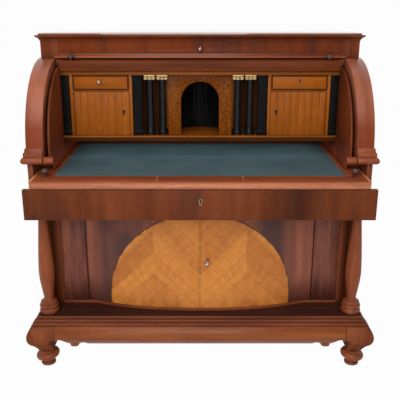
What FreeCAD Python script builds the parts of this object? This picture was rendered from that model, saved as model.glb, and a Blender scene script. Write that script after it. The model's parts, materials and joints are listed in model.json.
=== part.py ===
import FreeCAD, Part
import math
import os

# Cylinder desk in millimetres: X to the right, Y to the back, Z up, origin under the middle on the floor

Vec = FreeCAD.Vector

# Overall case
width = 1250.0
case_depth = 650.0
back_t = 14.0
slide_gap = 76.0
apron_t = 20.0
nosing_out = 4.0
overall_depth = case_depth + slide_gap + apron_t + nosing_out
half_w = width / 2
front = -overall_depth / 2 + slide_gap + apron_t + nosing_out
back = front + case_depth
panel_back = back - back_t

# Heights of the case, floor upwards
foot_pad_h = 26.0
foot_collar_h = 30.0
leg_h = 112.0
base_rail_h = 74.0
plinth_h = 36.0
cabinet_h = 408.0
mid_board_t = 20.0
side_rail_h = 172.0
ledge_h = 27.0
leg_bottom = foot_pad_h + foot_collar_h
plinth_bottom = leg_bottom + leg_h
rail_bottom = plinth_bottom - base_rail_h
plinth_top = plinth_bottom + plinth_h
mid_bottom = plinth_top + cabinet_h
mid_top = mid_bottom + mid_board_t
ledge_bottom = mid_top + side_rail_h
ledge_top = ledge_bottom + ledge_h

# Running clearances and the overrun that every cut uses
run_gap = 1.0
pin_gap = 0.05
over = 5.0


def block(x0, x1, y0, y1, z0, z1):
    return Part.makeBox(x1 - x0, y1 - y0, z1 - z0, Vec(x0, y0, z0))


def mirrored(shape):
    return shape.mirror(Vec(0, 0, 0), Vec(1, 0, 0))


def pair(shape):
    return [shape, mirrored(shape)]


def outline(points):
    # A closed wire: a point is a line's end, and a pair of points is an arc's middle and end
    edges = []
    here = points[0]
    for step in points[1:] + [points[0]]:
        if isinstance(step, tuple):
            edges.append(Part.Arc(here, step[0], step[1]).toShape())
            here = step[1]
        elif (step - here).Length > 0:
            edges.append(Part.LineSegment(here, step).toShape())
            here = step
    return Part.Wire(edges)


def sheet_solid(points, travel):
    return Part.Face(outline(points)).extrude(travel)


def side_solid(points, x0, x1):
    # A profile of (y, z) points swept from x0 to x1
    def place(p):
        return Vec(x0, p[0], p[1])

    steps = [tuple(place(q) for q in p) if isinstance(p[0], tuple) else place(p) for p in points]
    return sheet_solid(steps, Vec(x1 - x0, 0, 0))


def front_solid(points, y0, y1):
    # A profile of (x, z) points swept from y0 to y1
    def place(p):
        return Vec(p[0], y0, p[1])

    steps = [tuple(place(q) for q in p) if isinstance(p[0], tuple) else place(p) for p in points]
    return sheet_solid(steps, Vec(0, y1 - y0, 0))


def turned(x, y, profile):
    # A turned piece on a vertical axis, from (radius, z) points read upwards
    points = [Vec(0, 0, profile[0][1])]
    points += [Vec(r, 0, z) for r, z in profile]
    points += [Vec(0, 0, profile[-1][1])]
    spun = Part.Face(outline(points)).revolve(Vec(0, 0, 0), Vec(0, 0, 1), 360)
    spun.translate(Vec(x, y, 0))
    return spun


def rod(r, x, y, z0, z1):
    return Part.makeCylinder(r, z1 - z0, Vec(x, y, z0))


def bore_y(r, x, z, y0, y1):
    return Part.makeCylinder(r, y1 - y0, Vec(x, y0, z), Vec(0, 1, 0))


def bore_x(r, y, z, x0, x1):
    return Part.makeCylinder(r, x1 - x0, Vec(x0, y, z), Vec(1, 0, 0))


nodes = {}


def add(name, shapes):
    nodes[name] = Part.makeCompound(shapes) if isinstance(shapes, list) else shapes


# Plinth board with a stepped moulding that runs round the front and both ends
plinth_inset = 2.0
plinth_top_half = half_w - plinth_inset
plinth_flare = 22.0
plinth_proud = 16.0
plinth_top_front = front - plinth_proud
plinth_step_shares = [
    (0.0, 1.0), (0.22, 0.97), (0.32, 0.88), (0.3, 0.76), (0.2, 0.69), (0.22, 0.66), (0.5, 0.64),
    (0.64, 0.55), (0.64, 0.45), (0.54, 0.36), (0.56, 0.33), (0.84, 0.31), (0.98, 0.22), (1.0, 0.12), (0.92, 0.0),
]


def plinth_edge(out_share, up_share):
    return plinth_flare * out_share, plinth_bottom + plinth_h * up_share


plinth_steps = [plinth_edge(*share) for share in plinth_step_shares]
plinth_half = plinth_top_half + plinth_flare
plinth_front = plinth_top_front - plinth_flare
ends_profile = [(plinth_top_half + out, z) for out, z in plinth_steps]
ends_profile += [(-x, z) for x, z in reversed(ends_profile)]
front_profile = [(plinth_top_front - out, z) for out, z in plinth_steps]
front_profile += [(back, plinth_bottom), (back, plinth_top)]
plinth = front_solid(ends_profile, plinth_front - over, back)
add("plinth_board", plinth.common(side_solid(front_profile, -plinth_half - over, plinth_half + over)))

# Pillow-shaped base rails and the legs at the front corners
pillow_out = 19.0
rail_t = 46.0
leg_w = 82.0
leg_inner = plinth_half - leg_w
pillow_mid_z = (rail_bottom + plinth_bottom) / 2
leg_depth = 92.0
scallop_rise = 24.0
arch_top_z = rail_bottom + scallop_rise
scallop_w = 58.0
pendant_w = 36.0
cusp_w = 34.0
cusp_rise = 11.0
pendant_outer = leg_inner - scallop_w
pendant_inner = pendant_outer - pendant_w
cusp_inner = pendant_inner - cusp_w
pendant_drop = 13.0
scallop_shares = [(0.0, 0.7), (0.3, 1.0), (0.64, 0.66), (0.88, 0.2)]
pendant_shares = [(0.0, 0.3), (0.1, 0.84), (0.3, 1.0), (0.62, 1.0), (0.86, 0.62)]


def pillow_side(x_in, x_face, y0, y1):
    points = [(x_in, rail_bottom), (x_face, rail_bottom)]
    points += [((x_face + pillow_out, pillow_mid_z), (x_face, plinth_bottom)), (x_in, plinth_bottom)]
    return front_solid(points, y0, y1)


def pillow_front(y_face, y_in, x0, x1):
    points = [(y_in, rail_bottom), (y_face, rail_bottom)]
    points += [((y_face - pillow_out, pillow_mid_z), (y_face, plinth_bottom)), (y_in, plinth_bottom)]
    return side_solid(points, x0, x1)


def rail_scallop(side):
    # The arch cut beside the leg, which takes away the rail's lower edge there
    curve = [(side * (leg_inner - scallop_w * x), rail_bottom + scallop_rise * z) for x, z in scallop_shares]
    points = [(side * leg_inner, rail_bottom - over), curve[0], (curve[1], curve[2])]
    points += [(curve[3], (side * pendant_outer, rail_bottom - over))]
    return front_solid(points, plinth_front - pillow_out - over, plinth_front + rail_t + over)


def rail_cusp(side):
    # The low arch cut on the other side of the drop
    mid_x = side * (pendant_inner + cusp_inner) / 2
    points = [(side * pendant_inner, rail_bottom - over)]
    points += [((mid_x, rail_bottom + cusp_rise), (side * cusp_inner, rail_bottom - over))]
    return front_solid(points, plinth_front - pillow_out - over, plinth_front + rail_t + over)


def rail_pendant(side):
    # The small drop that hangs between the two arch cuts
    top = rail_bottom + scallop_rise / 2
    curve = [(side * (pendant_outer - pendant_w * x), rail_bottom - pendant_drop * z) for x, z in pendant_shares]
    points = [(side * pendant_outer, top), curve[0], (curve[1], curve[2]), curve[3]]
    points += [(curve[4], (side * pendant_inner, rail_bottom)), (side * pendant_inner, top)]
    return front_solid(points, plinth_front, plinth_front + rail_t)


front_rail = pillow_front(plinth_front, plinth_front + rail_t, -leg_inner, leg_inner)
for side in (-1, 1):
    front_rail = front_rail.cut(rail_scallop(side)).cut(rail_cusp(side)).fuse(rail_pendant(side))
add("base_rail_front", front_rail.removeSplitter())

rail_back_y = plinth_front + leg_depth
side_rail_base = pillow_side(plinth_half - rail_t, plinth_half, rail_back_y, back)
add("base_rail_sides", pair(side_rail_base))
rail_inside = plinth_half - rail_t
add("base_rail_back", block(-rail_inside, rail_inside, back - rail_t, back, rail_bottom, plinth_bottom))

leg_bulge = 25.0
leg_knee_out = 6.0
leg_knee_share = 0.26
leg_side_taper = 17.0
leg_front_taper = 4.0
leg_neck_share = 0.6
leg_knee_z = leg_bottom + leg_h * leg_knee_share
leg_bulge_z = (leg_knee_z + plinth_bottom) / 2
leg_neck_z = (leg_bottom + leg_knee_z) / 2


def leg_profile(face, inward, taper):
    # The leg's scrolled outline from the plinth down to the foot's collar
    knee = face - inward * leg_knee_out
    ankle = face + inward * taper
    neck = knee + (ankle - knee) * leg_neck_share
    return [
        (face + inward * leg_depth, plinth_bottom),
        (face, plinth_bottom),
        ((face - inward * leg_bulge, leg_bulge_z), (knee, leg_knee_z)),
        ((neck, leg_neck_z), (ankle, leg_bottom)),
        (face + inward * leg_depth, leg_bottom),
    ]


leg_block = side_solid(leg_profile(plinth_front, 1, leg_front_taper), leg_inner, plinth_half + leg_bulge)
leg_side = front_solid(leg_profile(plinth_half, -1, leg_side_taper), plinth_front - leg_bulge, rail_back_y)
ankle_in = 21.0
ankle_flare = 10.0
ankle_share = 0.36
ankle_x = leg_inner + ankle_in
ankle_z = leg_bottom + leg_h * ankle_share
leg_cut_share = 0.7
leg_cut_mid = (leg_inner + ankle_in * leg_cut_share, ankle_z + (arch_top_z - ankle_z) * leg_cut_share)
leg_cut = [(leg_inner - over, leg_bottom - over), (leg_inner - over, arch_top_z), (leg_inner, arch_top_z)]
leg_cut += [(leg_cut_mid, (ankle_x, ankle_z)), (ankle_x - ankle_flare, leg_bottom)]
leg_cut += [(ankle_x - ankle_flare, leg_bottom - over)]
leg = leg_block.common(leg_side).cut(front_solid(leg_cut, plinth_front - leg_bulge - over, rail_back_y + over))
add("front_leg_right", leg)
add("front_leg_left", mirrored(leg))

# Turned feet
foot_inset = 46.0
foot_axis_x = plinth_half - foot_inset
foot_proud = 20.0
foot_axis_y = front - foot_proud
foot_pad_r = 28.0
foot_collar_r = 45.0
rear_foot_inset = 52.0
foot_shares = [(0.82, 0.0), (1.0, 0.12), (1.0, 0.36), (0.78, 0.56), (0.86, 0.58)]
collar_shares = [(0.84, 0.0), (1.0, 0.3), (1.0, 0.6), (0.8, 1.0)]
foot_profile = [(foot_pad_r * r, foot_pad_h * z) for r, z in foot_shares]
foot_profile += [(foot_pad_r * foot_shares[-1][0], foot_pad_h)]
foot_profile += [(foot_collar_r * r, foot_pad_h + foot_collar_h * z) for r, z in collar_shares]
add("front_feet", pair(turned(foot_axis_x, foot_axis_y, foot_profile)))
rear_profile = foot_profile + [(foot_pad_r, leg_bottom), (foot_pad_r, rail_bottom)]
add("rear_feet", pair(turned(plinth_half - rear_foot_inset, back - rear_foot_inset, rear_profile)))

# Lower cabinet: posts, end panels, sides, shelf, backs and the board under the slide
recess = 98.0
post_inset = 25.0
post_w = 55.0
end_panel_w = 97.0
post_outer = half_w - post_inset
post_inner = post_outer - post_w
post_depth = 40.0
post_proud = 6.0
panel_t = 20.0
crease_half = post_inner - end_panel_w
hinge_gap = 0.6
side_t = 20.0
shelf_t = 18.0
shelf_z = plinth_top + cabinet_h / 2
shelf_setback = 170.0
front_face = front + recess
post_back = front_face + post_depth
post = block(post_inner, post_outer, front_face - post_proud, post_back, plinth_top, mid_bottom)
end_panel = block(crease_half + hinge_gap, post_inner, front_face, front_face + panel_t, plinth_top, mid_bottom)
lower_side = block(post_outer - side_t, post_outer, post_back, panel_back, plinth_top, mid_bottom)
add("corner_posts", pair(post))
add("end_panels", pair(end_panel))
add("lower_sides", pair(lower_side))
shelf_half = post_outer - side_t
shelf_front = front + shelf_setback
add("cabinet_shelf", block(-shelf_half, shelf_half, shelf_front, panel_back, shelf_z, shelf_z + shelf_t))

# Turned columns in front of the posts
column_inset = 34.0
column_x = half_w - column_inset
column_setback = 24.0
column_y = front + column_setback
column_h = mid_bottom - plinth_top
column_r = 33.0
column_shares = [
    (1.1, 0.0), (1.14, 0.02), (1.1, 0.046), (0.98, 0.05), (0.98, 0.058), (1.1, 0.064), (1.1, 0.082),
    (0.92, 0.088), (0.96, 0.102), (0.92, 0.116), (0.6, 0.122), (0.52, 0.14), (0.57, 0.17), (0.68, 0.23),
    (0.84, 0.32), (0.91, 0.395), (0.9, 0.46), (0.84, 0.56), (0.74, 0.68), (0.62, 0.8), (0.53, 0.9),
    (0.5, 0.94), (0.86, 0.95), (1.0, 0.97), (1.0, 1.0),
]
column = turned(column_x, column_y, [(column_r * r, plinth_top + column_h * z) for r, z in column_shares])
add("column_right", column)
add("column_left", mirrored(column))

# The bowed front: one curve gives the doors, the sill under them and the lunettes
bow_out = 71.0
bow_pole_shares = [(1.0, 0.0), (0.92, 0.0), (0.72, 1.0), (0.0, 1.0)]
door_t = 22.0
sill_h = 10.0
sill_proud = 6.0
door_gap = 1.5
lunette_t = 2.0
lunette_side = 93.0
lunette_r = crease_half - lunette_side
lunette_rise = 36.0
door_bottom = plinth_top + sill_h + door_gap
door_top = mid_bottom - door_gap
lunette_z = door_bottom + lunette_rise
door_round = door_t / 2
pin_x = crease_half - door_round
pin_y = front_face + door_round
flat_end = pin_x - door_round


def bow_curve(shift, z):
    poles = [Vec(flat_end * x, front_face - bow_out * y + shift, z) for x, y in bow_pole_shares]
    curve = Part.BezierCurve()
    curve.setPoles(poles)
    return curve.toShape()


def bowed_slab(shift0, shift1, z0, z1):
    # The right half of the bowed front between two shifts of its curve, with the flat strip at its hinge
    outer = bow_curve(shift0, z0)
    inner = bow_curve(shift1, z0)
    a, b = outer.Vertexes[0].Point, outer.Vertexes[-1].Point
    c, d = inner.Vertexes[0].Point, inner.Vertexes[-1].Point
    edges = [outer, Part.LineSegment(b, d).toShape(), inner, Part.LineSegment(c, a).toShape()]
    bow = Part.Face(Part.Wire(Part.__sortEdges__(edges))).extrude(Vec(0, 0, z1 - z0))
    flat = block(flat_end, crease_half, front_face + shift0, front_face + shift1, z0, z1)
    return bow.fuse(flat).removeSplitter()


def bow_face_y(x):
    # Where the bowed face stands at a given distance from the middle
    line = Part.LineSegment(Vec(x, front - bow_out, 0), Vec(x, back, 0)).toShape()
    return line.distToShape(bow_curve(0, 0))[1][0][0].y


sill_half = bowed_slab(-sill_proud, door_t, plinth_top, plinth_top + sill_h)
sill_end = block(crease_half, post_inner, front_face - sill_proud, front_face, plinth_top, plinth_top + sill_h)
sill_half = sill_half.fuse(sill_end)
sill = sill_half.fuse(mirrored(sill_half)).removeSplitter()

# Door pins stand in the sill and under the board above, at the doors' rounded outer edges
pin_r = 4.0
pin_seat = 8.0
pin_reach = 14.0
low_pin = rod(pin_r, pin_x, pin_y, plinth_top + sill_h - pin_seat, door_bottom + pin_reach)
high_pin = rod(pin_r, pin_x, pin_y, door_top - pin_reach, mid_bottom + pin_seat)
for hole in pair(low_pin):
    sill = sill.cut(hole)
add("door_sill", sill)

mid_board = block(-half_w, half_w, front, panel_back, mid_bottom, mid_top)
for hole in pair(high_pin):
    mid_board = mid_board.cut(hole)
add("mid_board", mid_board)

door_meet = 0.5
door = bowed_slab(0, door_t, door_bottom, door_top)
door = door.common(block(door_meet, pin_x, front - bow_out, back, door_bottom, door_top))
door = door.fuse(rod(door_round, pin_x, pin_y, door_bottom, door_top)).removeSplitter()
pin_hole_r = pin_r + pin_gap
pin_hole_deep = pin_reach + run_gap
door = door.cut(rod(pin_hole_r, pin_x, pin_y, door_bottom - over, door_bottom + pin_hole_deep))
door = door.cut(rod(pin_hole_r, pin_x, pin_y, door_top - pin_hole_deep, door_top + over))

slant_share = math.sqrt(0.5)
lunette_mid = (lunette_r * slant_share, lunette_z + lunette_r * slant_share)
lunette_points = [(door_meet, door_bottom), (lunette_r, door_bottom), (lunette_r, lunette_z)]
lunette_points += [(lunette_mid, (0, lunette_z + lunette_r)), (0, door_bottom)]
lunette_cut = front_solid(lunette_points, front - bow_out, back)
lunette = bowed_slab(-lunette_t, 0, door_bottom, door_top).common(lunette_cut)
lunette = lunette.common(block(door_meet, half_w, front - bow_out, back, door_bottom, door_top))
add("door_left", mirrored(door))
add("lunette_left", mirrored(lunette))

# Lock and key of the right door
door_key_x = 27.0
door_key_rise = 216.0
door_key_z = plinth_top + door_key_rise
key_r = 3.0
key_out = 34.0
key_bow_r = 12.0
key_bow_hole_r = 7.0
key_bow_t = 4.0
key_in = 9.0
key_collar_r = 5.0
key_collar_near_share = 0.3
key_collar_far_share = 0.45
lock_w = 52.0
lock_h = 64.0
lock_t = 12.0
lock_side_share = 0.25


def turning_key(x, z, face_y, lean):
    # Shank, collar and ring bow, with the bow leaning by some degrees from upright
    bow_x0, bow_x1 = x - key_bow_t / 2, x + key_bow_t / 2
    shank_y = face_y - key_out
    bow_y = shank_y - key_bow_hole_r
    shank = bore_y(key_r, x, z, shank_y, face_y + key_in)
    bow = bore_x(key_bow_r, bow_y, z, bow_x0, bow_x1)
    hole = bore_x(key_bow_hole_r, bow_y, z, bow_x0, bow_x1)
    collar_y0 = face_y - key_out * key_collar_far_share
    collar_y1 = face_y - key_out * key_collar_near_share
    collar = bore_y(key_collar_r, x, z, collar_y0, collar_y1)
    key = shank.fuse(bow).cut(hole).fuse(collar).removeSplitter()
    key.rotate(Vec(x, face_y, z), Vec(0, 1, 0), lean)
    return key


def key_hole(x, z, y0, y1):
    return bore_y(key_r + pin_gap, x, z, y0 - over, y1)


key_face_y = bow_face_y(door_key_x) - lunette_t
key_deep_y = key_face_y + key_in + run_gap
door_back_y = bow_face_y(door_key_x) + door_t
door_lean = 90.0
key_bore = key_hole(door_key_x, door_key_z, key_face_y - lunette_t, key_deep_y)
lock_x = door_key_x - lock_w * lock_side_share
lock_z = door_key_z - lock_h / 2
lock_box = block(lock_x, lock_x + lock_w, door_back_y - lock_t, door_back_y, lock_z, lock_z + lock_h)
door_right = door.cut(key_bore).cut(lock_box)
add("door_right", door_right)
add("lunette_right", lunette.cut(key_bore))
add("door_lock", lock_box.cut(key_bore))
add("door_key", turning_key(door_key_x, door_key_z, key_face_y, door_lean))

# Case sides beside the writing slide, each with a set-back bearer block over the slide's edge
side_rail_t = 19.5
bearer_w = 39.5
bearer_setback = 115.0
knob_room = 44.0
slide_top_gap = 1.5
case_inner = half_w - side_rail_t
rail_inner = case_inner - bearer_w
board_top_z = ledge_bottom - knob_room
bearer_y = front + bearer_setback
case_side = block(case_inner, half_w, front, panel_back, mid_top, ledge_bottom)
bearer_block = block(rail_inner, case_inner, bearer_y, panel_back, board_top_z + slide_top_gap, ledge_bottom)
add("side_rails", pair(case_side.fuse(bearer_block).removeSplitter()))

# Ledge moulding round each pillar, with its stepped foot above and a short return inside
ledge_out = 19.0
ledge_nose = ledge_h / 2
foot_step_out = 10.0
foot_step_h = 33.0
return_w = 39.0
return_inner = rail_inner - return_w
return_slit = 5.0
return_reach = 3.0
return_back = front + return_reach
slit_depth = 14.0
step_shares = [(1.0, 0.0), (1.0, 0.42), (0.55, 0.5), (0.45, 0.85), (0.0, 1.0)]
ledge_x = half_w + ledge_out
ledge_y = front - ledge_out
ledge_front = side_solid(
    [(panel_back, ledge_bottom), (ledge_y + ledge_nose, ledge_bottom),
     ((ledge_y, ledge_bottom + ledge_nose), (ledge_y + ledge_nose, ledge_top)), (panel_back, ledge_top)],
    return_inner, ledge_x)
ledge_side = front_solid(
    [(return_inner, ledge_bottom), (ledge_x - ledge_nose, ledge_bottom),
     ((ledge_x, ledge_bottom + ledge_nose), (ledge_x - ledge_nose, ledge_top)), (return_inner, ledge_top)],
    ledge_y, panel_back)
ledge = ledge_front.common(ledge_side)
ledge = ledge.cut(block(return_inner - over, rail_inner, return_back, panel_back + over,
                        ledge_bottom - over, ledge_top + over))
ledge = ledge.cut(block(rail_inner - return_slit, rail_inner, ledge_y - over, ledge_y + slit_depth,
                        ledge_bottom - over, ledge_top + over))


def step_point(out_share, up_share):
    return foot_step_out * out_share, ledge_top + foot_step_h * up_share


step_points = [step_point(*share) for share in step_shares]
step_top = ledge_top + foot_step_h
step_front = [(front - out, z) for out, z in step_points] + [(panel_back, step_top), (panel_back, ledge_top)]
step_side = [(half_w + out, z) for out, z in step_points] + [(rail_inner, step_top), (rail_inner, ledge_top)]
step_foot = side_solid(step_front, rail_inner, half_w + foot_step_out)
step_foot = step_foot.common(front_solid(step_side, front - foot_step_out, panel_back))
step_room = block(rail_inner - over, half_w, front, panel_back + over, ledge_top - over, step_top + over)
step_foot = step_foot.cut(step_room)
add("string_mouldings", pair(ledge.fuse(step_foot).removeSplitter()))

# Arched sides: a quarter circle about the cylinder's pivot
cylinder_room = 12.0
arch_r = (case_depth - back_t - cylinder_room) / 2
axis_y = front + arch_r
axis_lift = 14.0
arch_t = 63.0
arch_inner = half_w - arch_t
axis_z = ledge_top + axis_lift
arch_top = axis_z + arch_r
shell_inset = 4.0
shell_r = arch_r - shell_inset
frieze_proud = 32.0
frieze_y = axis_y - frieze_proud
bed_t = 19.0
bead_h = 8.0
bed_clear = 2.5
bed_bottom = axis_z + shell_r + bed_clear
bed_top = bed_bottom + bed_t
arch_mid = (axis_y - arch_r * slant_share, axis_z + arch_r * slant_share)
arch_outline = [(front, ledge_top), (front, axis_z), (arch_mid, (axis_y, arch_top))]
arch_outline += [(panel_back, arch_top), (panel_back, ledge_top)]
pivot_r = 8.0
pivot_seat = 30.0
pivot_reach = 9.0
arch_side = side_solid(arch_outline, arch_inner, half_w)
pivot_pin = bore_x(pivot_r, axis_y, axis_z, arch_inner - pivot_reach, arch_inner + pivot_seat)
arch_side = arch_side.cut(pivot_pin)
add("arch_side_right", arch_side)
add("arch_side_left", mirrored(arch_side))
add("pivot_pins", pair(pivot_pin))

# Frieze: bead rail, end blocks with the cove, top board
bead_out = 5.0
bead_r = bead_h / 2
bead_top = bed_bottom + bead_h
bed_profile = [(panel_back, bed_bottom), (frieze_y - bead_out + bead_r, bed_bottom)]
bed_profile += [((frieze_y - bead_out, bed_bottom + bead_r), (frieze_y - bead_out + bead_r, bead_top))]
bed_profile += [(frieze_y, bead_top), (frieze_y, bed_top)]
bed_profile += [(panel_back, bed_top)]
add("drawer_bed", side_solid(bed_profile, -arch_inner, arch_inner))

frieze_h = 68.0
frieze_inset = 10.0
frieze_end_w = 69.0
frieze_half = half_w - frieze_inset
frieze_drawer_half = frieze_half - frieze_end_w
cove_h = 30.0
cove_out = 25.0
cove_side_out = 15.0
cove_lip = 5.0
frieze_bottom = bed_top
frieze_top = bed_top + frieze_h
cove_bottom = frieze_top - cove_h
cove_mid_shares = (0.28, 0.66)


def cove_points(face, out, inner, low):
    # Plain frieze below and a hollow cove above, ending in a small lip
    lip = face + out
    mid = (face + out * cove_mid_shares[0], cove_bottom + (cove_h - cove_lip) * cove_mid_shares[1])
    return [(inner, low), (face, low), (face, cove_bottom), (mid, (lip, frieze_top - cove_lip)),
            (lip, frieze_top), (inner, frieze_top)]


end_gap = 1.0
end_inner = frieze_drawer_half + end_gap
end_tip = frieze_half + cove_side_out
cove_tip_y = frieze_y - cove_out
end_front = side_solid(cove_points(frieze_y, -cove_out, panel_back, arch_top), end_inner, end_tip)
end_side = front_solid(cove_points(frieze_half, cove_side_out, end_inner, arch_top), cove_tip_y, panel_back)
bed_end = block(end_inner - over, arch_inner, cove_tip_y, panel_back, bed_bottom, bed_top)
add("cornice_ends", pair(end_front.common(end_side).cut(bed_end)))

top_t = 6.0
top_setback = 12.0
top_gap = 1.0
top_front = cove_tip_y + top_setback
top_half = end_tip - top_setback
top_z = frieze_top + top_gap
top_seat = block(end_inner, frieze_half, frieze_y, panel_back, frieze_top, top_z)
top_board = block(-top_half, top_half, top_front, back, top_z, top_z + top_t)
for seat in pair(top_seat):
    top_board = top_board.fuse(seat)
add("top_board", top_board.removeSplitter())
back_half = frieze_half
lower_back = block(-post_outer, post_outer, panel_back, back, plinth_top, mid_top)
upper_back = block(-back_half, back_half, panel_back, back, mid_top, top_z)
add("back_panels", [lower_back, upper_back])

# Frieze drawer with its key
frieze_front_t = 22.0
frieze_gap = 1.5
frieze_box_inset = 10.0
frieze_box_half = frieze_drawer_half - frieze_box_inset
frieze_box_room = 64.0
box_wall = 10.0
box_floor = 6.0
frieze_box_h = 50.0
frieze_box_y = frieze_y + frieze_front_t
frieze_box_back = panel_back - frieze_box_room
frieze_profile = cove_points(frieze_y, -cove_out, frieze_box_y, frieze_bottom + frieze_gap)
frieze_front = side_solid(frieze_profile, -frieze_drawer_half, frieze_drawer_half)
frieze_key_rise = 19.0
frieze_key_z = frieze_bottom + frieze_key_rise
frieze_lean = 12.0
add("frieze_front", frieze_front.cut(key_hole(0, frieze_key_z, frieze_y, frieze_y + key_in + run_gap)))
add("frieze_key", turning_key(0, frieze_key_z, frieze_y, frieze_lean))


def drawer_box(x0, x1, y0, y1, z0, z1):
    # Two sides, a back and a bottom, open above and closed in front by the drawer's front
    whole = block(x0, x1, y0, y1, z0, z1)
    return whole.cut(block(x0 + box_wall, x1 - box_wall, y0 - over, y1 - box_wall, z0 + box_floor, z1 + over))


add("frieze_box", drawer_box(-frieze_box_half, frieze_box_half, frieze_box_y, frieze_box_back,
                             frieze_bottom, frieze_bottom + frieze_box_h))

# Writing slide: board with nosing, leather, apron, sides, back rail and knobs
board_t = 26.0
slide_inner_gap = 1.5
slide_side_t = 7.0
slide_half = case_inner - slide_inner_gap
board_half = slide_half - slide_side_t
apron_back = front - slide_gap
apron_front = apron_back - apron_t
board_room = 78.0
board_back = panel_back - board_room
apron_drop = 10.0
apron_top = board_top_z - board_t
apron_bottom = mid_top - apron_drop
nose_y = apron_front - nosing_out
nose_r = board_t / 2
leather_side = 67.0
leather_half = board_half - leather_side
leather_proud = 2.0
leather_border = 8.0
leather_front = front - leather_proud
leather_back = board_back - leather_border
leather_t = 1.5
board = block(-board_half, board_half, apron_back, board_back, apron_top, board_top_z)
nose_profile = [(apron_back, apron_top), (nose_y + nose_r, apron_top)]
nose_profile += [((nose_y, apron_top + nose_r), (nose_y + nose_r, board_top_z)), (apron_back, board_top_z)]
board = board.fuse(side_solid(nose_profile, -board_half, board_half))
leather = block(-leather_half, leather_half, leather_front, leather_back, board_top_z - leather_t, board_top_z)
board = board.cut(leather).removeSplitter()
add("leather_panel", leather)

slide_lock_w = 70.0
slide_lock_h = 50.0
slide_lock_lift = 8.0
slide_lock_z = (apron_top + apron_bottom) / 2 + slide_lock_lift
add("apron", block(-half_w, half_w, apron_front, apron_back, apron_bottom, apron_top))
add("slide_lock", block(-slide_lock_w / 2, slide_lock_w / 2, apron_back, apron_back + lock_t,
                        slide_lock_z - slide_lock_h / 2, slide_lock_z + slide_lock_h / 2))
slide_back_t = 16.0
side_strip = block(board_half, slide_half, apron_back, board_back, mid_top, board_top_z)
slide_back = block(-board_half, board_half, board_back - slide_back_t, board_back, mid_top, apron_top)
add("slide_sides", pair(side_strip) + [slide_back])

knob_r = 13.0
knob_neck_r = 6.0
knob_neck_h = 6.0
knob_stud = 12.0
knob_edge = 37.0
knob_x = board_half - knob_edge
knob_proud = 10.0
knob_y = front - knob_proud
knob_shares = [(0.55, 0.0), (0.92, 0.22), (1.0, 0.45), (0.95, 0.66), (0.72, 0.88), (0.3, 0.985)]


def knob_profile(ball_r, neck_h):
    # Stud in the wood, short neck and ball, from the wood's face upwards
    points = [(knob_neck_r, -knob_stud), (knob_neck_r, neck_h)]
    points += [(ball_r * r, neck_h + 2 * ball_r * h) for r, h in knob_shares]
    return points


slide_knob = turned(knob_x, knob_y, [(r, board_top_z + h) for r, h in knob_profile(knob_r, knob_neck_h)])
for stud in pair(rod(knob_neck_r, knob_x, knob_y, board_top_z - knob_stud, board_top_z)):
    board = board.cut(stud)
add("writing_board", board)
add("slide_knobs", pair(slide_knob))

# Cylinder, drawn closed and then turned open about its pivot
shell_t = 20.0
cylinder_rail_t = 38.0
rail_end_t = 22.0
rail_inner_r = shell_r - cylinder_rail_t
rail_end_r = shell_r - rail_end_t
lining_inset = 17.0
lining_half = arch_inner - lining_inset
rail_end_gap = 2.0
shell_side_gap = 1.5
shell_half = arch_inner - shell_side_gap
shell_rest = 3.0
shell_rest_z = board_top_z + shell_rest
closed_angle = math.degrees(math.asin((shell_rest_z - axis_z) / shell_r))
rail_arc = 15.0
top_angle = 92.0
arm_t = 5.0
arm_w = 54.0
hub_r = 26.0
knob_clear = 3.0
notch_x = knob_x - knob_r - knob_clear
notch_z = board_top_z + knob_neck_h + 2 * knob_r + knob_clear
cylinder_knob_inset = 63.5
cylinder_knob_x = shell_half - cylinder_knob_inset
cylinder_knob_r = 12.0
cylinder_neck_h = 1.0
cylinder_knob_lift = 2.2
cylinder_knob_angle = closed_angle + cylinder_knob_lift
bead_clear = 5.6
knob_reach_r = shell_r + cylinder_neck_h + cylinder_knob_r
open_reach = frieze_proud + bead_out + bead_clear + cylinder_knob_r
open_turn = math.degrees(math.acos(open_reach / knob_reach_r)) - cylinder_knob_angle


def polar(r, degrees):
    # A point of the side view, measured upwards from the pivot's forward direction
    angle = math.radians(degrees)
    return axis_y - r * math.cos(angle), axis_z + r * math.sin(angle)


def arc_slab(r0, r1, a0, a1, x0, x1):
    mid = (a0 + a1) / 2
    points = [polar(r0, a0), polar(r1, a0), (polar(r1, mid), polar(r1, a1))]
    points += [polar(r0, a1), (polar(r0, mid), polar(r0, a0))]
    return side_solid(points, x0, x1)


def opened(shape):
    shape.rotate(Vec(0, axis_y, axis_z), Vec(-1, 0, 0), open_turn)
    return shape


shell_joint = closed_angle + rail_arc
shell = arc_slab(shell_r - shell_t, shell_r, shell_joint, top_angle, -shell_half, shell_half)
rail_mid_half = lining_half - rail_end_gap
bottom_rail = arc_slab(rail_end_r, shell_r, closed_angle, shell_joint, -shell_half, shell_half)
rail_mid = arc_slab(rail_inner_r, rail_end_r, closed_angle, shell_joint, -rail_mid_half, rail_mid_half)
bottom_rail = bottom_rail.fuse(rail_mid).removeSplitter()
notch = block(notch_x, shell_half + over, front - over, axis_y, board_top_z - over, notch_z)
flat = block(-shell_half - over, shell_half + over, front - over, axis_y, board_top_z - over, shell_rest_z)
for cut in pair(notch) + [flat]:
    bottom_rail = bottom_rail.cut(cut)

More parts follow.
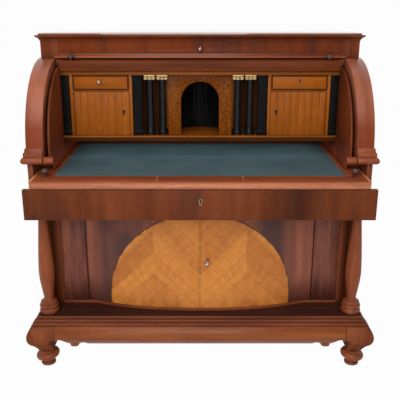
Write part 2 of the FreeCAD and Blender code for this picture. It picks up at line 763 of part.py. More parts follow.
stud_y, stud_z = polar(shell_r, cylinder_knob_angle)
ball = [Vec(r, 0, h) for r, h in knob_profile(cylinder_knob_r, cylinder_neck_h)]
ball = [Vec(0, 0, -knob_stud)] + ball + [Vec(0, 0, ball[-1].z)]
cylinder_knob = Part.Face(outline(ball)).revolve(Vec(0, 0, 0), Vec(0, 0, 1), 360)
cylinder_knob.rotate(Vec(0, 0, 0), Vec(1, 0, 0), 90 - cylinder_knob_angle)
cylinder_knob.translate(Vec(cylinder_knob_x, stud_y, stud_z))
for knob in pair(cylinder_knob):
    bottom_rail = bottom_rail.cut(knob)

arm_angle = (shell_joint + top_angle) / 2
arm_x0 = shell_half - arm_t
arm_tip_y = axis_y - shell_r + shell_t / 2
arm = block(arm_x0, shell_half, arm_tip_y, axis_y, axis_z - arm_w / 2, axis_z + arm_w / 2)
arm.rotate(Vec(0, axis_y, axis_z), Vec(-1, 0, 0), arm_angle)
arm = arm.fuse(bore_x(hub_r, axis_y, axis_z, arm_x0, shell_half))
arm = arm.cut(bore_x(pivot_r + pin_gap, axis_y, axis_z, arm_x0 - over, shell_half + over)).removeSplitter()
for rebate in pair(arm):
    shell = shell.cut(rebate)
add("cylinder_shell", opened(shell))
add("cylinder_rail", opened(bottom_rail))
add("cylinder_arms", [opened(a) for a in pair(arm)])
add("cylinder_knobs", [opened(k) for k in pair(cylinder_knob)])

# Inner side linings, inside the cylinder's path, each on a bearer fixed to the side rail
lining_t = 8.0
lining_clear = 2.0
lining_r = rail_end_r - lining_clear
lining_lift = 6.0
bearer_h = 30.0
bearer_back = axis_y + axis_y - bearer_y
lining_low = board_top_z + lining_lift
disc = bore_x(lining_r, axis_y, axis_z, lining_half, lining_half + lining_t)
lining = disc.cut(block(lining_half - over, rail_inner, front, back, axis_z - lining_r - over, lining_low))
bearer_z = ledge_bottom - bearer_h
lining_outer = lining_half + lining_t
lining = lining.fuse(block(lining_outer, rail_inner, bearer_y, bearer_back, bearer_z, ledge_bottom))
knob_way = knob_r + knob_clear
knob_way_back = knob_y + slide_gap + knob_way + run_gap
lining = lining.cut(block(notch_x, rail_inner + over, front, knob_way_back, lining_low - over, notch_z))
add("linings", pair(lining.removeSplitter()))

# Interior fitment: floor, top, back and partitions
gallery_proud = 37.0
gallery_front = axis_y - gallery_proud
gallery_floor_t = 22.0
gallery_floor_z = ledge_top + gallery_floor_t
gallery_drop = 51.0
gallery_roof_t = 14.0
roof_clear = 5.5
roof_short = 12.0
roof_top_z = arch_top - gallery_drop
gallery_roof_z = roof_top_z - gallery_roof_t
roof_reach = math.sqrt((shell_r - shell_t) ** 2 - (roof_top_z - axis_z) ** 2)
roof_back = axis_y + roof_reach - roof_clear
gallery_lip = 5.0
board_thin = 12.0
gallery_back_t = 10.0
gallery_rear = roof_back + roof_short
stile_w = 33.0
stile_outer = lining_half - stile_w
niche_half = 75.5
niche_side = 50.5
post_gap = 49.5
post_to_bay = 80.75
capital_w = 43.5
drawer_h = 58.0
divider_t = 6.0
fit_gap = 1.0
centre_half = niche_half + niche_side
post_inner_x = centre_half + fit_gap + capital_w / 2
post_xs = (post_inner_x, post_inner_x + post_gap)
bay_inner = post_xs[1] + post_to_bay
bay_outer = stile_outer - board_thin
divider_z = gallery_roof_z - drawer_h - divider_t
inner_back = gallery_rear - gallery_back_t
stile_setback = 4.0
floor_front = gallery_front - gallery_lip
gallery_floor = block(-lining_half, lining_half, floor_front, gallery_rear, ledge_top, gallery_floor_z)
add("gallery_top", block(-lining_half, lining_half, gallery_front, roof_back, gallery_roof_z, roof_top_z))
partition_front = gallery_front + stile_setback
partitions = []
recess_front = gallery_front + capital_w + fit_gap
bay_side = bay_inner - board_thin
for x0, y0 in ((bay_outer, partition_front), (bay_side, partition_front), (centre_half, recess_front)):
    partitions += pair(block(x0, x0 + board_thin, y0, inner_back, gallery_floor_z, gallery_roof_z))
partitions += pair(block(bay_inner, bay_outer, partition_front, inner_back, divider_z, divider_z + divider_t))

# Ebonised pilasters with base blocks and caps, and the four columns with gilt capitals
pilaster_t = 18.0
pilaster_w = 40.0
pilaster_base_h = 24.0
pilaster_cap_h = 10.0
pilaster_step = 3.0
pilaster_inner = bay_side - pilaster_w
pilaster_y = gallery_front + pilaster_step
pilaster_back = pilaster_y + pilaster_t
pilaster_base_z = gallery_floor_z + pilaster_base_h
pilaster_cap_z = gallery_roof_z - pilaster_cap_h
pilasters = []
for x0, x1 in ((stile_outer, lining_half), (pilaster_inner, bay_side)):
    shaft_x0, shaft_x1 = x0 + pilaster_step, x1 - pilaster_step
    shaft = block(shaft_x0, shaft_x1, pilaster_y, pilaster_back, gallery_floor_z, gallery_roof_z)
    base = block(x0, x1, gallery_front, pilaster_back, gallery_floor_z, pilaster_base_z)
    cap = block(x0, x1, gallery_front, pilaster_back, pilaster_cap_z, gallery_roof_z)
    pilasters += pair(shaft.fuse(base).fuse(cap).removeSplitter())
add("pilasters", pilasters)

post_r = 14.0
capital_h = 19.0
post_y = gallery_front + capital_w / 2
post_top = gallery_roof_z - capital_h
post_h = post_top - gallery_floor_z
post_shares = [
    (1.46, 0.0), (1.46, 0.03), (1.3, 0.045), (1.46, 0.07), (1.15, 0.09), (1.05, 0.11),
    (1.0, 0.14), (0.96, 0.6), (0.9, 1.0),
]
posts = []
capitals = []
abacus_share = 0.3
volute_share = 0.36
abacus_z = gallery_roof_z - capital_h * abacus_share
volute_r = capital_h * volute_share
volute_z = post_top + volute_r
capital_front = post_y - capital_w / 2
capital_back = post_y + capital_w / 2
for x in post_xs:
    posts += pair(turned(x, post_y, [(post_r * r, gallery_floor_z + post_h * z) for r, z in post_shares]))
    abacus = block(x - capital_w / 2, x + capital_w / 2, capital_front, capital_back, abacus_z, gallery_roof_z)
    capital = abacus.fuse(rod(post_r, x, post_y, post_top, abacus_z))
    for side in (-1, 1):
        volute_x = x + side * (capital_w / 2 - volute_r)
        capital = capital.fuse(bore_y(volute_r, volute_x, volute_z, capital_front, capital_back))
    capitals += pair(capital.removeSplitter())
add("gallery_columns", posts)
add("gilt_capitals", capitals)

# Centre niche: an arched opening in a veneered panel, and a curved lining behind it
niche_panel_t = 12.0
niche_wall = 6.0
niche_crown = 26.5
niche_setback = 12.0
niche_spring_z = gallery_roof_z - niche_crown - niche_half
niche_y = gallery_front + niche_setback
niche_back_y = niche_y + niche_panel_t
opening_points = [(-niche_half, gallery_floor_z - over), (niche_half, gallery_floor_z - over)]
opening_points += [(niche_half, niche_spring_z)]
opening_points += [((0, niche_spring_z + niche_half), (-niche_half, niche_spring_z))]
panel = block(-centre_half, centre_half, niche_y, niche_back_y, gallery_floor_z, gallery_roof_z)
add("niche_panel", panel.cut(front_solid(opening_points, niche_y - over, niche_back_y + over)))


niche_deep = 176.0
niche_bow = 34.0
niche_end_y = niche_back_y + niche_deep
niche_chord = niche_half + niche_wall
niche_end_r = (niche_chord * niche_chord + niche_bow * niche_bow) / (2 * niche_bow)


def niche_room(half, end_y, end_r):
    # An arched tunnel that ends in a shallow curve
    points = [(-half, gallery_floor_z), (half, gallery_floor_z), (half, niche_spring_z)]
    points += [((0, niche_spring_z + half), (-half, niche_spring_z))]
    tunnel = front_solid(points, niche_back_y, end_y)
    return tunnel.common(rod(end_r, 0, end_y - end_r, gallery_floor_z, gallery_roof_z))


niche_room_in = niche_room(niche_half, niche_end_y - niche_wall, niche_end_r - niche_wall)
niche_room_out = niche_room(niche_chord, niche_end_y, niche_end_r)
add("niche_shell", niche_room_out.cut(niche_room_in))
gallery_back = block(-lining_half, lining_half, inner_back, gallery_rear, gallery_floor_z, gallery_roof_z)
add("gallery_back", gallery_back.cut(niche_room_out))
niche_floor = block(-niche_chord, niche_chord, gallery_rear, niche_end_y, ledge_top, gallery_floor_z)
gallery_floor = gallery_floor.fuse(niche_floor).removeSplitter()

# Interior drawers and boarded doors, with the key of the left drawer
small_front_t = 14.0
small_box_room = 13.0
small_low = divider_z + divider_t + fit_gap
small_high = gallery_roof_z - fit_gap
small_x0 = bay_inner + fit_gap
small_x1 = bay_outer - fit_gap
small_y = gallery_front
small_mid = (small_x0 + small_x1) / 2
small_key_lift = 6.0
small_key_z = (small_low + small_high) / 2 + small_key_lift
small_lean = 0.0
small_box_y = small_y + small_front_t
small_front = block(small_x0, small_x1, small_y, small_box_y, small_low, small_high)
small_box = drawer_box(small_x0 + fit_gap, small_x1 - fit_gap, small_box_y, inner_back - small_box_room,
                       divider_z + divider_t, small_high - box_wall)
small_drawer = small_front.fuse(small_box).removeSplitter()
add("interior_drawer_right", small_drawer)
small_bore = key_hole(-small_mid, small_key_z, small_y, small_y + key_in + run_gap)
add("interior_drawer_left", mirrored(small_drawer).cut(small_bore))
add("drawer_key", turning_key(-small_mid, small_key_z, small_y, small_lean))

small_door_t = 14.0
board_count = 8
groove_w = 2.5
groove_deep = 2.0
small_pin_r = 2.5
small_pin_reach = 9.0
small_pin_seat = 4.0
small_round = small_door_t / 2
small_pin_x = small_x1 - small_round
small_pin_y = small_y + small_round
small_door_low = gallery_floor_z + fit_gap
small_door_high = divider_z - fit_gap
small_door = block(small_x0, small_pin_x, small_y, small_y + small_door_t, small_door_low, small_door_high)
pitch = (small_x1 - small_x0) / board_count
for i in range(1, board_count):
    groove_x = small_x0 + pitch * i
    groove = block(groove_x - groove_w / 2, groove_x + groove_w / 2, small_y - over, small_y + groove_deep,
                   small_door_low - over, small_door_high + over)
    small_door = small_door.cut(groove)


def small_pin(r, z0, z1):
    return rod(r, small_pin_x, small_pin_y, z0, z1)


small_pins = [
    small_pin(small_pin_r, gallery_floor_z - small_pin_seat, small_door_low + small_pin_reach),
    small_pin(small_pin_r, small_door_high - small_pin_reach, divider_z + small_pin_seat),
]
small_hole_r = small_pin_r + pin_gap
small_hole_deep = small_pin_reach + run_gap
small_door = small_door.fuse(small_pin(small_round, small_door_low, small_door_high)).removeSplitter()
small_door = small_door.cut(small_pin(small_hole_r, small_door_low - over, small_door_low + small_hole_deep))
small_door = small_door.cut(small_pin(small_hole_r, small_door_high - small_hole_deep, small_door_high + over))
add("interior_door_right", small_door)
add("interior_door_left", mirrored(small_door))
for pin in small_pins:
    for hole in pair(pin):
        gallery_floor = gallery_floor.cut(hole)
        partitions = [board.cut(hole) for board in partitions]
add("gallery_floor", gallery_floor)
add("gallery_partitions", partitions)
all_pins = []
for pin in [low_pin, high_pin] + small_pins:
    all_pins += pair(pin)
add("door_pins", all_pins)

os.makedirs("parts", exist_ok=True)
for name, shape in nodes.items():
    shape.exportStep("parts/" + name + ".step")
    print(name, len(shape.Solids), round(shape.Volume), shape.isValid())
box = Part.makeCompound(list(nodes.values())).BoundBox
print("nodes", len(nodes), "box", box.XMin, box.XMax, box.YMin, box.YMax, box.ZMin, box.ZMax)
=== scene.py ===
import bpy
import json
import math
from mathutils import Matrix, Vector


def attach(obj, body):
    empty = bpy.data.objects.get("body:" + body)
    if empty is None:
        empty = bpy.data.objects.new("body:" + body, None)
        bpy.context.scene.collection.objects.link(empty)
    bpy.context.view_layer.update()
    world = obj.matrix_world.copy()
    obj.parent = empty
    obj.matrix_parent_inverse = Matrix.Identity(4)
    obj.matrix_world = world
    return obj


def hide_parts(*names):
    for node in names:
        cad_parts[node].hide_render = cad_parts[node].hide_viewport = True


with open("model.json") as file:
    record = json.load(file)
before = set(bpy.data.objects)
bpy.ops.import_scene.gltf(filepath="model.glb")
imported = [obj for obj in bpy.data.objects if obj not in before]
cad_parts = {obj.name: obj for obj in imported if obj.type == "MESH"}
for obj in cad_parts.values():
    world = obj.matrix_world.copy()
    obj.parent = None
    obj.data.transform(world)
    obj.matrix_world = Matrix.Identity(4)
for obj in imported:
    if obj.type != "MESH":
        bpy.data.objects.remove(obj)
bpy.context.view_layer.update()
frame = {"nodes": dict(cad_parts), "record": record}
nodes = frame["nodes"]
behaviour = frame["record"]["behaviour"]
bodyOf = {member: bodyName for bodyName, members in behaviour["bodies"].items() for member in members}
slotOf = {part["node"]: part["material_slot"] for part in frame["record"]["subparts"]}
scene = bpy.context.scene
print("frame loaded:", len(nodes), "nodes")


# small working helpers
def objectMode():
    bpy.ops.object.mode_set(mode="OBJECT")


def deselectAll():
    if bpy.context.object and bpy.context.object.mode != "OBJECT":
        objectMode()
    bpy.ops.object.select_all(action="DESELECT")


def focus(piece):
    deselectAll()
    piece.select_set(True)
    bpy.context.view_layer.objects.active = piece


def editAll(piece):
    focus(piece)
    bpy.ops.object.mode_set(mode="EDIT")
    bpy.ops.mesh.select_all(action="SELECT")


def named(piece, name):
    piece.name = name
    piece.data.name = name
    return piece


def applyModifier(piece, name, kind, **settings):
    focus(piece)
    modifier = piece.modifiers.new(name, kind)
    for key, value in settings.items():
        setattr(modifier, key, value)
    bpy.ops.object.modifier_apply(modifier=modifier.name)


def easeEdges(piece, width, angle=28):
    applyModifier(piece, "easedEdges", "BEVEL", width=width, segments=2, limit_method="ANGLE",
                  angle_limit=math.radians(angle))


def smoothShade(piece, angle=34):
    focus(piece)
    bpy.ops.object.shade_smooth_by_angle(angle=math.radians(angle))


def paint(piece, finish):
    piece.data.materials.clear()
    piece.data.materials.append(finish)


def applyPlace(piece):
    focus(piece)
    bpy.ops.object.transform_apply(location=True, rotation=True, scale=True)


def joinPieces(name, parts):
    deselectAll()
    for part in parts:
        part.select_set(True)
    bpy.context.view_layer.objects.active = parts[0]
    if len(parts) > 1:
        bpy.ops.object.join()
    return named(bpy.context.object, name)


def settle(piece, finishSlot, bodyName, *replaced):
    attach(piece, bodyName)
    if replaced:
        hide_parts(*replaced)


# corners of the box round a node, where it stands
def nodeBox(nodeName):
    corners = [nodes[nodeName].matrix_world @ Vector(corner) for corner in nodes[nodeName].bound_box]
    lowCorner = Vector([min(corner[i] for corner in corners) for i in range(3)])
    highCorner = Vector([max(corner[i] for corner in corners) for i in range(3)])
    return lowCorner, highCorner


# a plain board between two corners
def boardBetween(name, lowCorner, highCorner, edge=0.0):
    deselectAll()
    bpy.ops.mesh.primitive_cube_add(size=1.0, location=[(a + b) / 2 for a, b in zip(lowCorner, highCorner)])
    piece = named(bpy.context.object, name)
    piece.scale = [b - a for a, b in zip(lowCorner, highCorner)]
    applyPlace(piece)
    if edge:
        easeEdges(piece, edge)
    return piece


def nodeCopy(nodeName, name):
    piece = named(bpy.data.objects.new(name, nodes[nodeName].data.copy()), name)
    scene.collection.objects.link(piece)
    return piece


def dress(piece, nodeName, finish):
    paint(piece, finish)
    settle(piece, slotOf[nodeName], bodyOf[nodeName], nodeName)


cleaning = {"doubles": 0.00001, "flatAngle": 0.25}


# a node's solid with its doubles merged, its flat faces joined and its edges eased
def easedCopy(nodeName, name, edge, finish):
    piece = nodeCopy(nodeName, name)
    editAll(piece)
    bpy.ops.mesh.remove_doubles(threshold=cleaning["doubles"])
    bpy.ops.mesh.dissolve_limited(angle_limit=math.radians(cleaning["flatAngle"]))
    objectMode()
    if edge:
        easeEdges(piece, edge)
    smoothShade(piece)
    dress(piece, nodeName, finish)


turning = {"seed": 0.002, "doubles": 0.00002, "edge": 0.0008, "edgeAngle": 35, "shadeAngle": 40}


# a turned piece: one vertex is extruded along a profile and spun about an upright axis
def lathe(name, profile, axisX, axisY, steps):
    deselectAll()
    bpy.ops.mesh.primitive_plane_add(size=turning["seed"], location=(0, 0, 0))
    piece = named(bpy.context.object, name)
    editAll(piece)
    bpy.ops.mesh.merge(type="CENTER")
    bpy.ops.mesh.select_all(action="SELECT")
    firstRadius, firstHeight = profile[0]
    bpy.ops.transform.translate(value=(axisX + firstRadius, axisY, firstHeight))
    for (r0, h0), (r1, h1) in zip(profile, profile[1:]):
        bpy.ops.mesh.extrude_region_move(TRANSFORM_OT_translate={"value": (r1 - r0, 0, h1 - h0)})
    bpy.ops.mesh.select_all(action="SELECT")
    bpy.ops.mesh.spin(steps=steps, angle=math.tau, center=(axisX, axisY, 0), axis=(0, 0, 1))
    bpy.ops.mesh.select_all(action="SELECT")
    bpy.ops.mesh.remove_doubles(threshold=turning["doubles"])
    bpy.ops.mesh.normals_make_consistent(inside=False)
    objectMode()
    return piece


def easeTurning(piece):
    easeEdges(piece, turning["edge"], turning["edgeAngle"])
    smoothShade(piece, turning["shadeAngle"])


def scaledProfile(shares, radius, height, base):
    return [(radius * r, base + height * h) for r, h in shares]


# shader helpers
def newMaterial(name):
    material = bpy.data.materials.new(name)
    material.use_nodes = True
    tree = material.node_tree
    return material, tree, tree.nodes["Principled BSDF"]


def link(tree, source, target):
    tree.links.new(source, target)


# a socket takes a number, a vector, a colour or another node's output
def feed(tree, socket, value):
    if isinstance(value, (int, float)):
        socket.default_value = value
    elif isinstance(value, (tuple, list)):
        socket.default_value = value if len(value) == len(socket.default_value) else (*value, 1.0)
    else:
        link(tree, value, socket)


def feedAll(tree, node, values):
    for key, value in values.items():
        feed(tree, node.inputs[key], value)
    return node


def put(tree, kind, **values):
    return feedAll(tree, tree.nodes.new(kind), values)


def groupNode(tree, group, **values):
    node = tree.nodes.new("ShaderNodeGroup")
    node.node_tree = group
    return feedAll(tree, node, values).outputs


def mathNode(tree, operation, a, b=None, clamp=False):
    node = tree.nodes.new("ShaderNodeMath")
    node.operation = operation
    node.use_clamp = clamp
    feed(tree, node.inputs[0], a)
    if b is not None:
        feed(tree, node.inputs[1], b)
    return node.outputs[0]


def times(tree, a, b):
    return mathNode(tree, "MULTIPLY", a, b)


def plus(tree, a, b):
    return mathNode(tree, "ADD", a, b)


def minus(tree, a, b):
    return mathNode(tree, "SUBTRACT", a, b)


def absolute(tree, a):
    return mathNode(tree, "ABSOLUTE", a)


def vectorNode(tree, operation, a, b):
    node = tree.nodes.new("ShaderNodeVectorMath")
    node.operation = operation
    feed(tree, node.inputs[0], a)
    feed(tree, node.inputs["Scale" if operation == "SCALE" else 1], b)
    return node.outputs[0]


def mixColour(tree, factor, a, b, blend="MIX"):
    node = tree.nodes.new("ShaderNodeMix")
    node.data_type = "RGBA"
    node.blend_type = blend
    node.clamp_factor = True
    for index, value in ((0, factor), (6, a), (7, b)):
        feed(tree, node.inputs[index], value)
    return node.outputs[2]


def tinted(tree, colour, mask, share, tint):
    return mixColour(tree, times(tree, mask, share), colour, tint)


def ramp(tree, value, stops):
    node = tree.nodes.new("ShaderNodeValToRGB")
    feed(tree, node.inputs[0], value)
    points = node.color_ramp.elements
    while len(points) < len(stops):
        points.new(0.5)
    for point, (place, colour) in zip(points, stops):
        point.position = place
        point.color = (*colour, 1.0)
    return node.outputs[0]


# the share from 0 to 1 of the way between two values
def spread(tree, value, low, high):
    node = tree.nodes.new("ShaderNodeMapRange")
    for index, given in enumerate((value, low, high)):
        feed(tree, node.inputs[index], given)
    return node.outputs[0]


def combined(tree, x, y, z):
    return put(tree, "ShaderNodeCombineXYZ", X=x, Y=y, Z=z).outputs[0]


def objectParts(tree):
    place = put(tree, "ShaderNodeTexCoord").outputs["Object"]
    return put(tree, "ShaderNodeSeparateXYZ", Vector=place).outputs


def bumped(tree, shader, height, strength, depth):
    bump = put(tree, "ShaderNodeBump", Strength=strength, Distance=depth, Height=height)
    link(tree, bump.outputs[0], shader.inputs["Normal"])


def newGroup(name, inputs, outputs):
    group = bpy.data.node_groups.new(name, "ShaderNodeTree")
    for key, value in inputs.items():
        kind = "NodeSocketVector" if value is None else "NodeSocketFloat"
        socket = group.interface.new_socket(key, in_out="INPUT", socket_type=kind)
        if value is not None:
            socket.default_value = value
    for key in outputs:
        group.interface.new_socket(key, in_out="OUTPUT", socket_type="NodeSocketFloat")
    return group, group.nodes.new("NodeGroupInput").outputs, group.nodes.new("NodeGroupOutput").inputs


# wood figure: streaks along the grain and fine pores, both bent a little, and broad clouds
figureParts = {
    "inputs": {"Vector": None, "Streak Scale": 9.0, "Pore Scale": 90.0, "Cloud Scale": 2.2, "Warp": 0.06},
    "bend": {"Scale": 2.4, "Detail": 1.5},
    "Streak": {"Detail": 5.0, "Roughness": 0.62},
    "Pore": {"Detail": 2.0, "Roughness": 0.5},
    "Cloud": {"Detail": 2.5, "Roughness": 0.5},
}


def buildWoodFigure():
    group, start, end = newGroup("woodFigure", figureParts["inputs"], ("Streak", "Pore", "Cloud"))
    plain = start["Vector"]
    bend = put(group, "ShaderNodeTexNoise", Vector=plain, **figureParts["bend"])
    centred = vectorNode(group, "SUBTRACT", bend.outputs["Color"], (0.5, 0.5, 0.5))
    bent = vectorNode(group, "ADD", plain, vectorNode(group, "SCALE", centred, start["Warp"]))
    for name, vector in (("Streak", bent), ("Pore", bent), ("Cloud", plain)):
        noise = put(group, "ShaderNodeTexNoise", Vector=vector, Scale=start[name + " Scale"], **figureParts[name])
        link(group, noise.outputs["Fac"], end[name])
    return group


# edges rubbed pale by wear, and corners darkened by grime and painted shade
wearGrimeAndShadeParts = {"inputs": {"Reach": 0.02, "Edge Reach": 0.003}, "samples": 6}


def buildWearGrimeAndShade():
    group, start, end = newGroup("wearGrimeAndShade", wearGrimeAndShadeParts["inputs"], ("CreviceGrimeAndShade", "Edge"))
    for name, reach, inside in (("CreviceGrimeAndShade", "Reach", False), ("Edge", "Edge Reach", True)):
        closeness = put(group, "ShaderNodeAmbientOcclusion", Distance=start[reach])
        closeness.samples = wearGrimeAndShadeParts["samples"]
        closeness.inside = inside
        closeness.only_local = inside
        link(group, mathNode(group, "SUBTRACT", 1.0, closeness.outputs["AO"], True), end[name])
    return group


cylinderAxis = {"y": 0.037, "z": 0.845, "radius": 0.31, "flatFacing": 0.7}
woodFigure = buildWoodFigure()
wearGrimeAndShade = buildWearGrimeAndShade()


def grainVector(tree, stretch, shift=(0, 0, 0)):
    place = put(tree, "ShaderNodeTexCoord").outputs["Object"]
    return put(tree, "ShaderNodeMapping", Vector=place, Location=shift, Scale=stretch).outputs[0]


# grain that runs round the cylinder's axis on an arch's edge, and straight on its flat sides
def curvedGrain(tree, stretch):
    x, y, z = objectParts(tree)
    forward = minus(tree, cylinderAxis["y"], y)
    upward = minus(tree, z, cylinderAxis["z"])
    turned = mathNode(tree, "ARCTAN2", upward, forward)
    square = plus(tree, times(tree, forward, forward), times(tree, upward, upward))
    joined = combined(tree, times(tree, x, stretch[0]), times(tree, turned, stretch[1] * cylinderAxis["radius"]),
                      times(tree, mathNode(tree, "SQRT", square), stretch[2]))
    normal = put(tree, "ShaderNodeNewGeometry").outputs["Normal"]
    sideways = absolute(tree, put(tree, "ShaderNodeSeparateXYZ", Vector=normal).outputs["X"])
    blend = tree.nodes.new("ShaderNodeMix")
    blend.data_type = "VECTOR"
    flat = mathNode(tree, "GREATER_THAN", sideways, cylinderAxis["flatFacing"])
    for index, source in ((0, flat), (4, joined), (5, grainVector(tree, stretch))):
        link(tree, source, blend.inputs[index])
    return blend.outputs[1]


def shadeOn(axis, start, end, colour=None, **more):
    return {"axis": axis, "from": start, "to": end, "colour": colour, **more}


# how strong a shade is at a point: between two places on an axis, or near one place on it
def shadeShare(tree, shade):
    value = objectParts(tree)[shade["axis"]]
    if shade.get("mirrored"):
        value = absolute(tree, value)
    if "at" in shade:
        value = absolute(tree, minus(tree, value, shade["at"]))
    return spread(tree, value, shade["from"], shade["to"])


# broad dark flames of a crotch veneer
def patches(tree, patch):
    vector = grainVector(tree, patch["stretch"], patch["shift"])
    noise = put(tree, "ShaderNodeTexNoise", Vector=vector, Scale=patch["scale"], Detail=patch["detail"],
                Roughness=patch["rough"], Distortion=patch["twist"])
    mask = spread(tree, noise.outputs["Fac"], patch["low"], patch["high"])
    if "fade" in patch:
        mask = times(tree, mask, shadeShare(tree, patch["fade"]))
    return times(tree, mask, patch["amount"])


# rubbed edges, and corners darkened by grime and painted shade, over a colour
def agedAndShaded(tree, colour, look):
    polish = groupNode(tree, wearGrimeAndShade, **{"Reach": look["reach"], "Edge Reach": look["edgeReach"]})
    colour = tinted(tree, colour, polish["Edge"], look["wear"], look["wearColour"])
    return tinted(tree, colour, polish["CreviceGrimeAndShade"], look["grime"], look["grimeColour"])


def variant(look, **changes):
    return {**look, **changes}


# one polished wood: colours from dark to light, the grain's direction by its stretch
def polishedWood(name, look, **changes):
    look = variant(look, **changes)
    material, tree, shader = newMaterial(name)
    vector = curvedGrain(tree, look["stretch"]) if look.get("curved") else grainVector(tree, look["stretch"])
    figure = groupNode(tree, woodFigure, Vector=vector, **look["figure"])
    streak = times(tree, figure["Streak"], look["streak"])
    colour = ramp(tree, plus(tree, streak, times(tree, figure["Cloud"], 1.0 - look["streak"])), look["stops"])
    pores = spread(tree, figure["Pore"], *look["poreRange"])
    colour = tinted(tree, colour, pores, look["pores"], look["poreColour"])
    # a look's shade: painted shade that multiplies the colour darker, or painted light where its colour is above one;
    # where asked, the coat thins with it
    if "shade" in look:
        shade = look["shade"]
        share = shadeShare(tree, shade)
        colour = mixColour(tree, share, colour, shade["colour"], "MULTIPLY")
        if "gloss" in shade:
            gloss = minus(tree, 1.0, times(tree, share, 1.0 - shade["gloss"]))
            link(tree, times(tree, gloss, look["coat"]), shader.inputs["Coat Weight"])
    if "patch" in look:
        colour = mixColour(tree, patches(tree, look["patch"]), colour, look["patch"]["colour"])
    rough = plus(tree, times(tree, figure["Streak"], look["roughSpread"]), look["roughness"])
    feedAll(tree, shader, {"Base Color": agedAndShaded(tree, colour, look), "Roughness": rough, "Coat Weight": look["coat"],
                           "Specular IOR Level": look["specular"], "Coat Roughness": look["coatRoughness"]})
    bumped(tree, shader, figure["Pore"], look["bump"], look["bumpDepth"])
    return material


# three colours about the middle of a ramp
def tones(dark, middle, light, reach=0.2):
    return [(0.5 - reach, dark), (0.5, middle), (0.5 + reach, light)]


# the same colour stops, darker or lighter by one share
def toned(stops, share):
    return [(place, tuple(share * part for part in colour)) for place, colour in stops]


redStops = tones((0.12, 0.028, 0.01), (0.235, 0.056, 0.019), (0.34, 0.092, 0.034), 0.18)
mahoganyLook = {
    "stretch": (0.9, 9.0, 9.0),
    "figure": {"Streak Scale": 3.0, "Pore Scale": 38.0, "Cloud Scale": 1.1, "Warp": 0.1},
    "streak": 0.6,
    "stops": redStops,
    "pores": 0.4,
    "poreRange": (0.5, 0.72),
    "poreColour": (0.08, 0.019, 0.008),
    "edgeReach": 0.003,
    "wear": 0.3,
    "wearColour": (0.42, 0.15, 0.07),
    "reach": 0.025,
    # corners darken by this share: grime and painted shade
    "grime": 0.75,
    "grimeColour": (0.03, 0.011, 0.007),
    "roughness": 0.3,
    "roughSpread": 0.14,
    "specular": 0.16,
    "coat": 0.04,
    "coatRoughness": 0.12,
    "bump": 0.12,
    "bumpDepth": 0.0006,
}
upright = (9.0, 9.0, 0.9)
inwards = (9.0, 0.9, 9.0)
veneered = (7.0, 7.0, 0.8)
caseStops = toned(redStops, 0.72)
mahogany = polishedWood("mahoganyLong", mahoganyLook)
caseMahogany = polishedWood("mahoganyCase", mahoganyLook, stops=caseStops, specular=0.1)
uprightLook = variant(mahoganyLook, stretch=upright, stops=toned(redStops, 0.62), specular=0.06, coat=0.0)
caseUpright = polishedWood("mahoganyCaseUpright", uprightLook)
postEdge = nodeBox("corner_posts")[1].x
# painted shadow: the column's shadow darkens the post in a band beside it
postMahogany = polishedWood(
    "mahoganyPost", uprightLook,
    shade=shadeOn("X", 0.026, 0.0, (0.3, 0.27, 0.27), at=postEdge - 0.024, mirrored=True))
railMahogany = polishedWood(
    "mahoganyRail", mahoganyLook, specular=0.12, coat=0.08, roughness=0.24,
    stops=tones((0.12, 0.03, 0.009), (0.23, 0.06, 0.017), (0.33, 0.098, 0.03), 0.18))
caseDeep = polishedWood("mahoganyCaseDeep", mahoganyLook, stretch=inwards, stops=caseStops, specular=0.1)
mahoganyUpright = polishedWood(
    "mahoganyUpright", mahoganyLook, stretch=upright, stops=toned(redStops, 0.9))
# painted shade: the arched sides darken towards their foot, and their coat thins there so the sheen fades
archMahogany = polishedWood(
    "mahoganyArch", mahoganyLook, curved=True, stretch=inwards, specular=0.06, coat=1.0, coatRoughness=0.36,
    roughness=0.45, pores=0.18,
    shade=shadeOn("Z", 1.06, 0.93, (0.54, 0.38, 0.27), gloss=0.05),
    stops=tones((0.19, 0.05, 0.022), (0.33, 0.094, 0.044), (0.44, 0.14, 0.07), 0.18))
# painted shade: the plinth's top, under the overhang, is darkened and cooled; its wider corner darkening is grime and
# painted shade
plinthMahogany = polishedWood(
    "mahoganyPlinth", mahoganyLook, grime=0.6, reach=0.05, specular=0.08, coat=0.0, roughness=0.42,
    shade=shadeOn("Z", 0.2022, 0.2038, (0.3, 0.34, 0.5)),
    stops=tones((0.085, 0.022, 0.01), (0.162, 0.043, 0.019), (0.24, 0.07, 0.031), 0.18))
legMahogany = polishedWood(
    "mahoganyLeg", mahoganyLook, stretch=upright, roughness=0.55, specular=0.03, coat=0.0,
    stops=tones((0.105, 0.029, 0.012), (0.205, 0.056, 0.022), (0.3, 0.09, 0.038), 0.18))
topMahogany = polishedWood(
    "mahoganyTop", mahoganyLook, roughness=0.02, specular=0.5, coat=1.0, coatRoughness=0.02, bump=0.0,
    stops=toned(redStops, 1.2))
# painted light: the linings are lightened towards their foot, where they meet the writing board
liningMahogany = polishedWood(
    "mahoganyLining", mahoganyLook, stretch=upright, specular=0.1, coat=0.0,
    shade=shadeOn("Z", 0.85, 0.78, (1.9, 1.7, 1.6)),
    stops=tones((0.085, 0.017, 0.005), (0.16, 0.033, 0.01), (0.23, 0.054, 0.017), 0.18))
mahoganyDeep = polishedWood("mahoganyDeep", mahoganyLook, stretch=inwards)
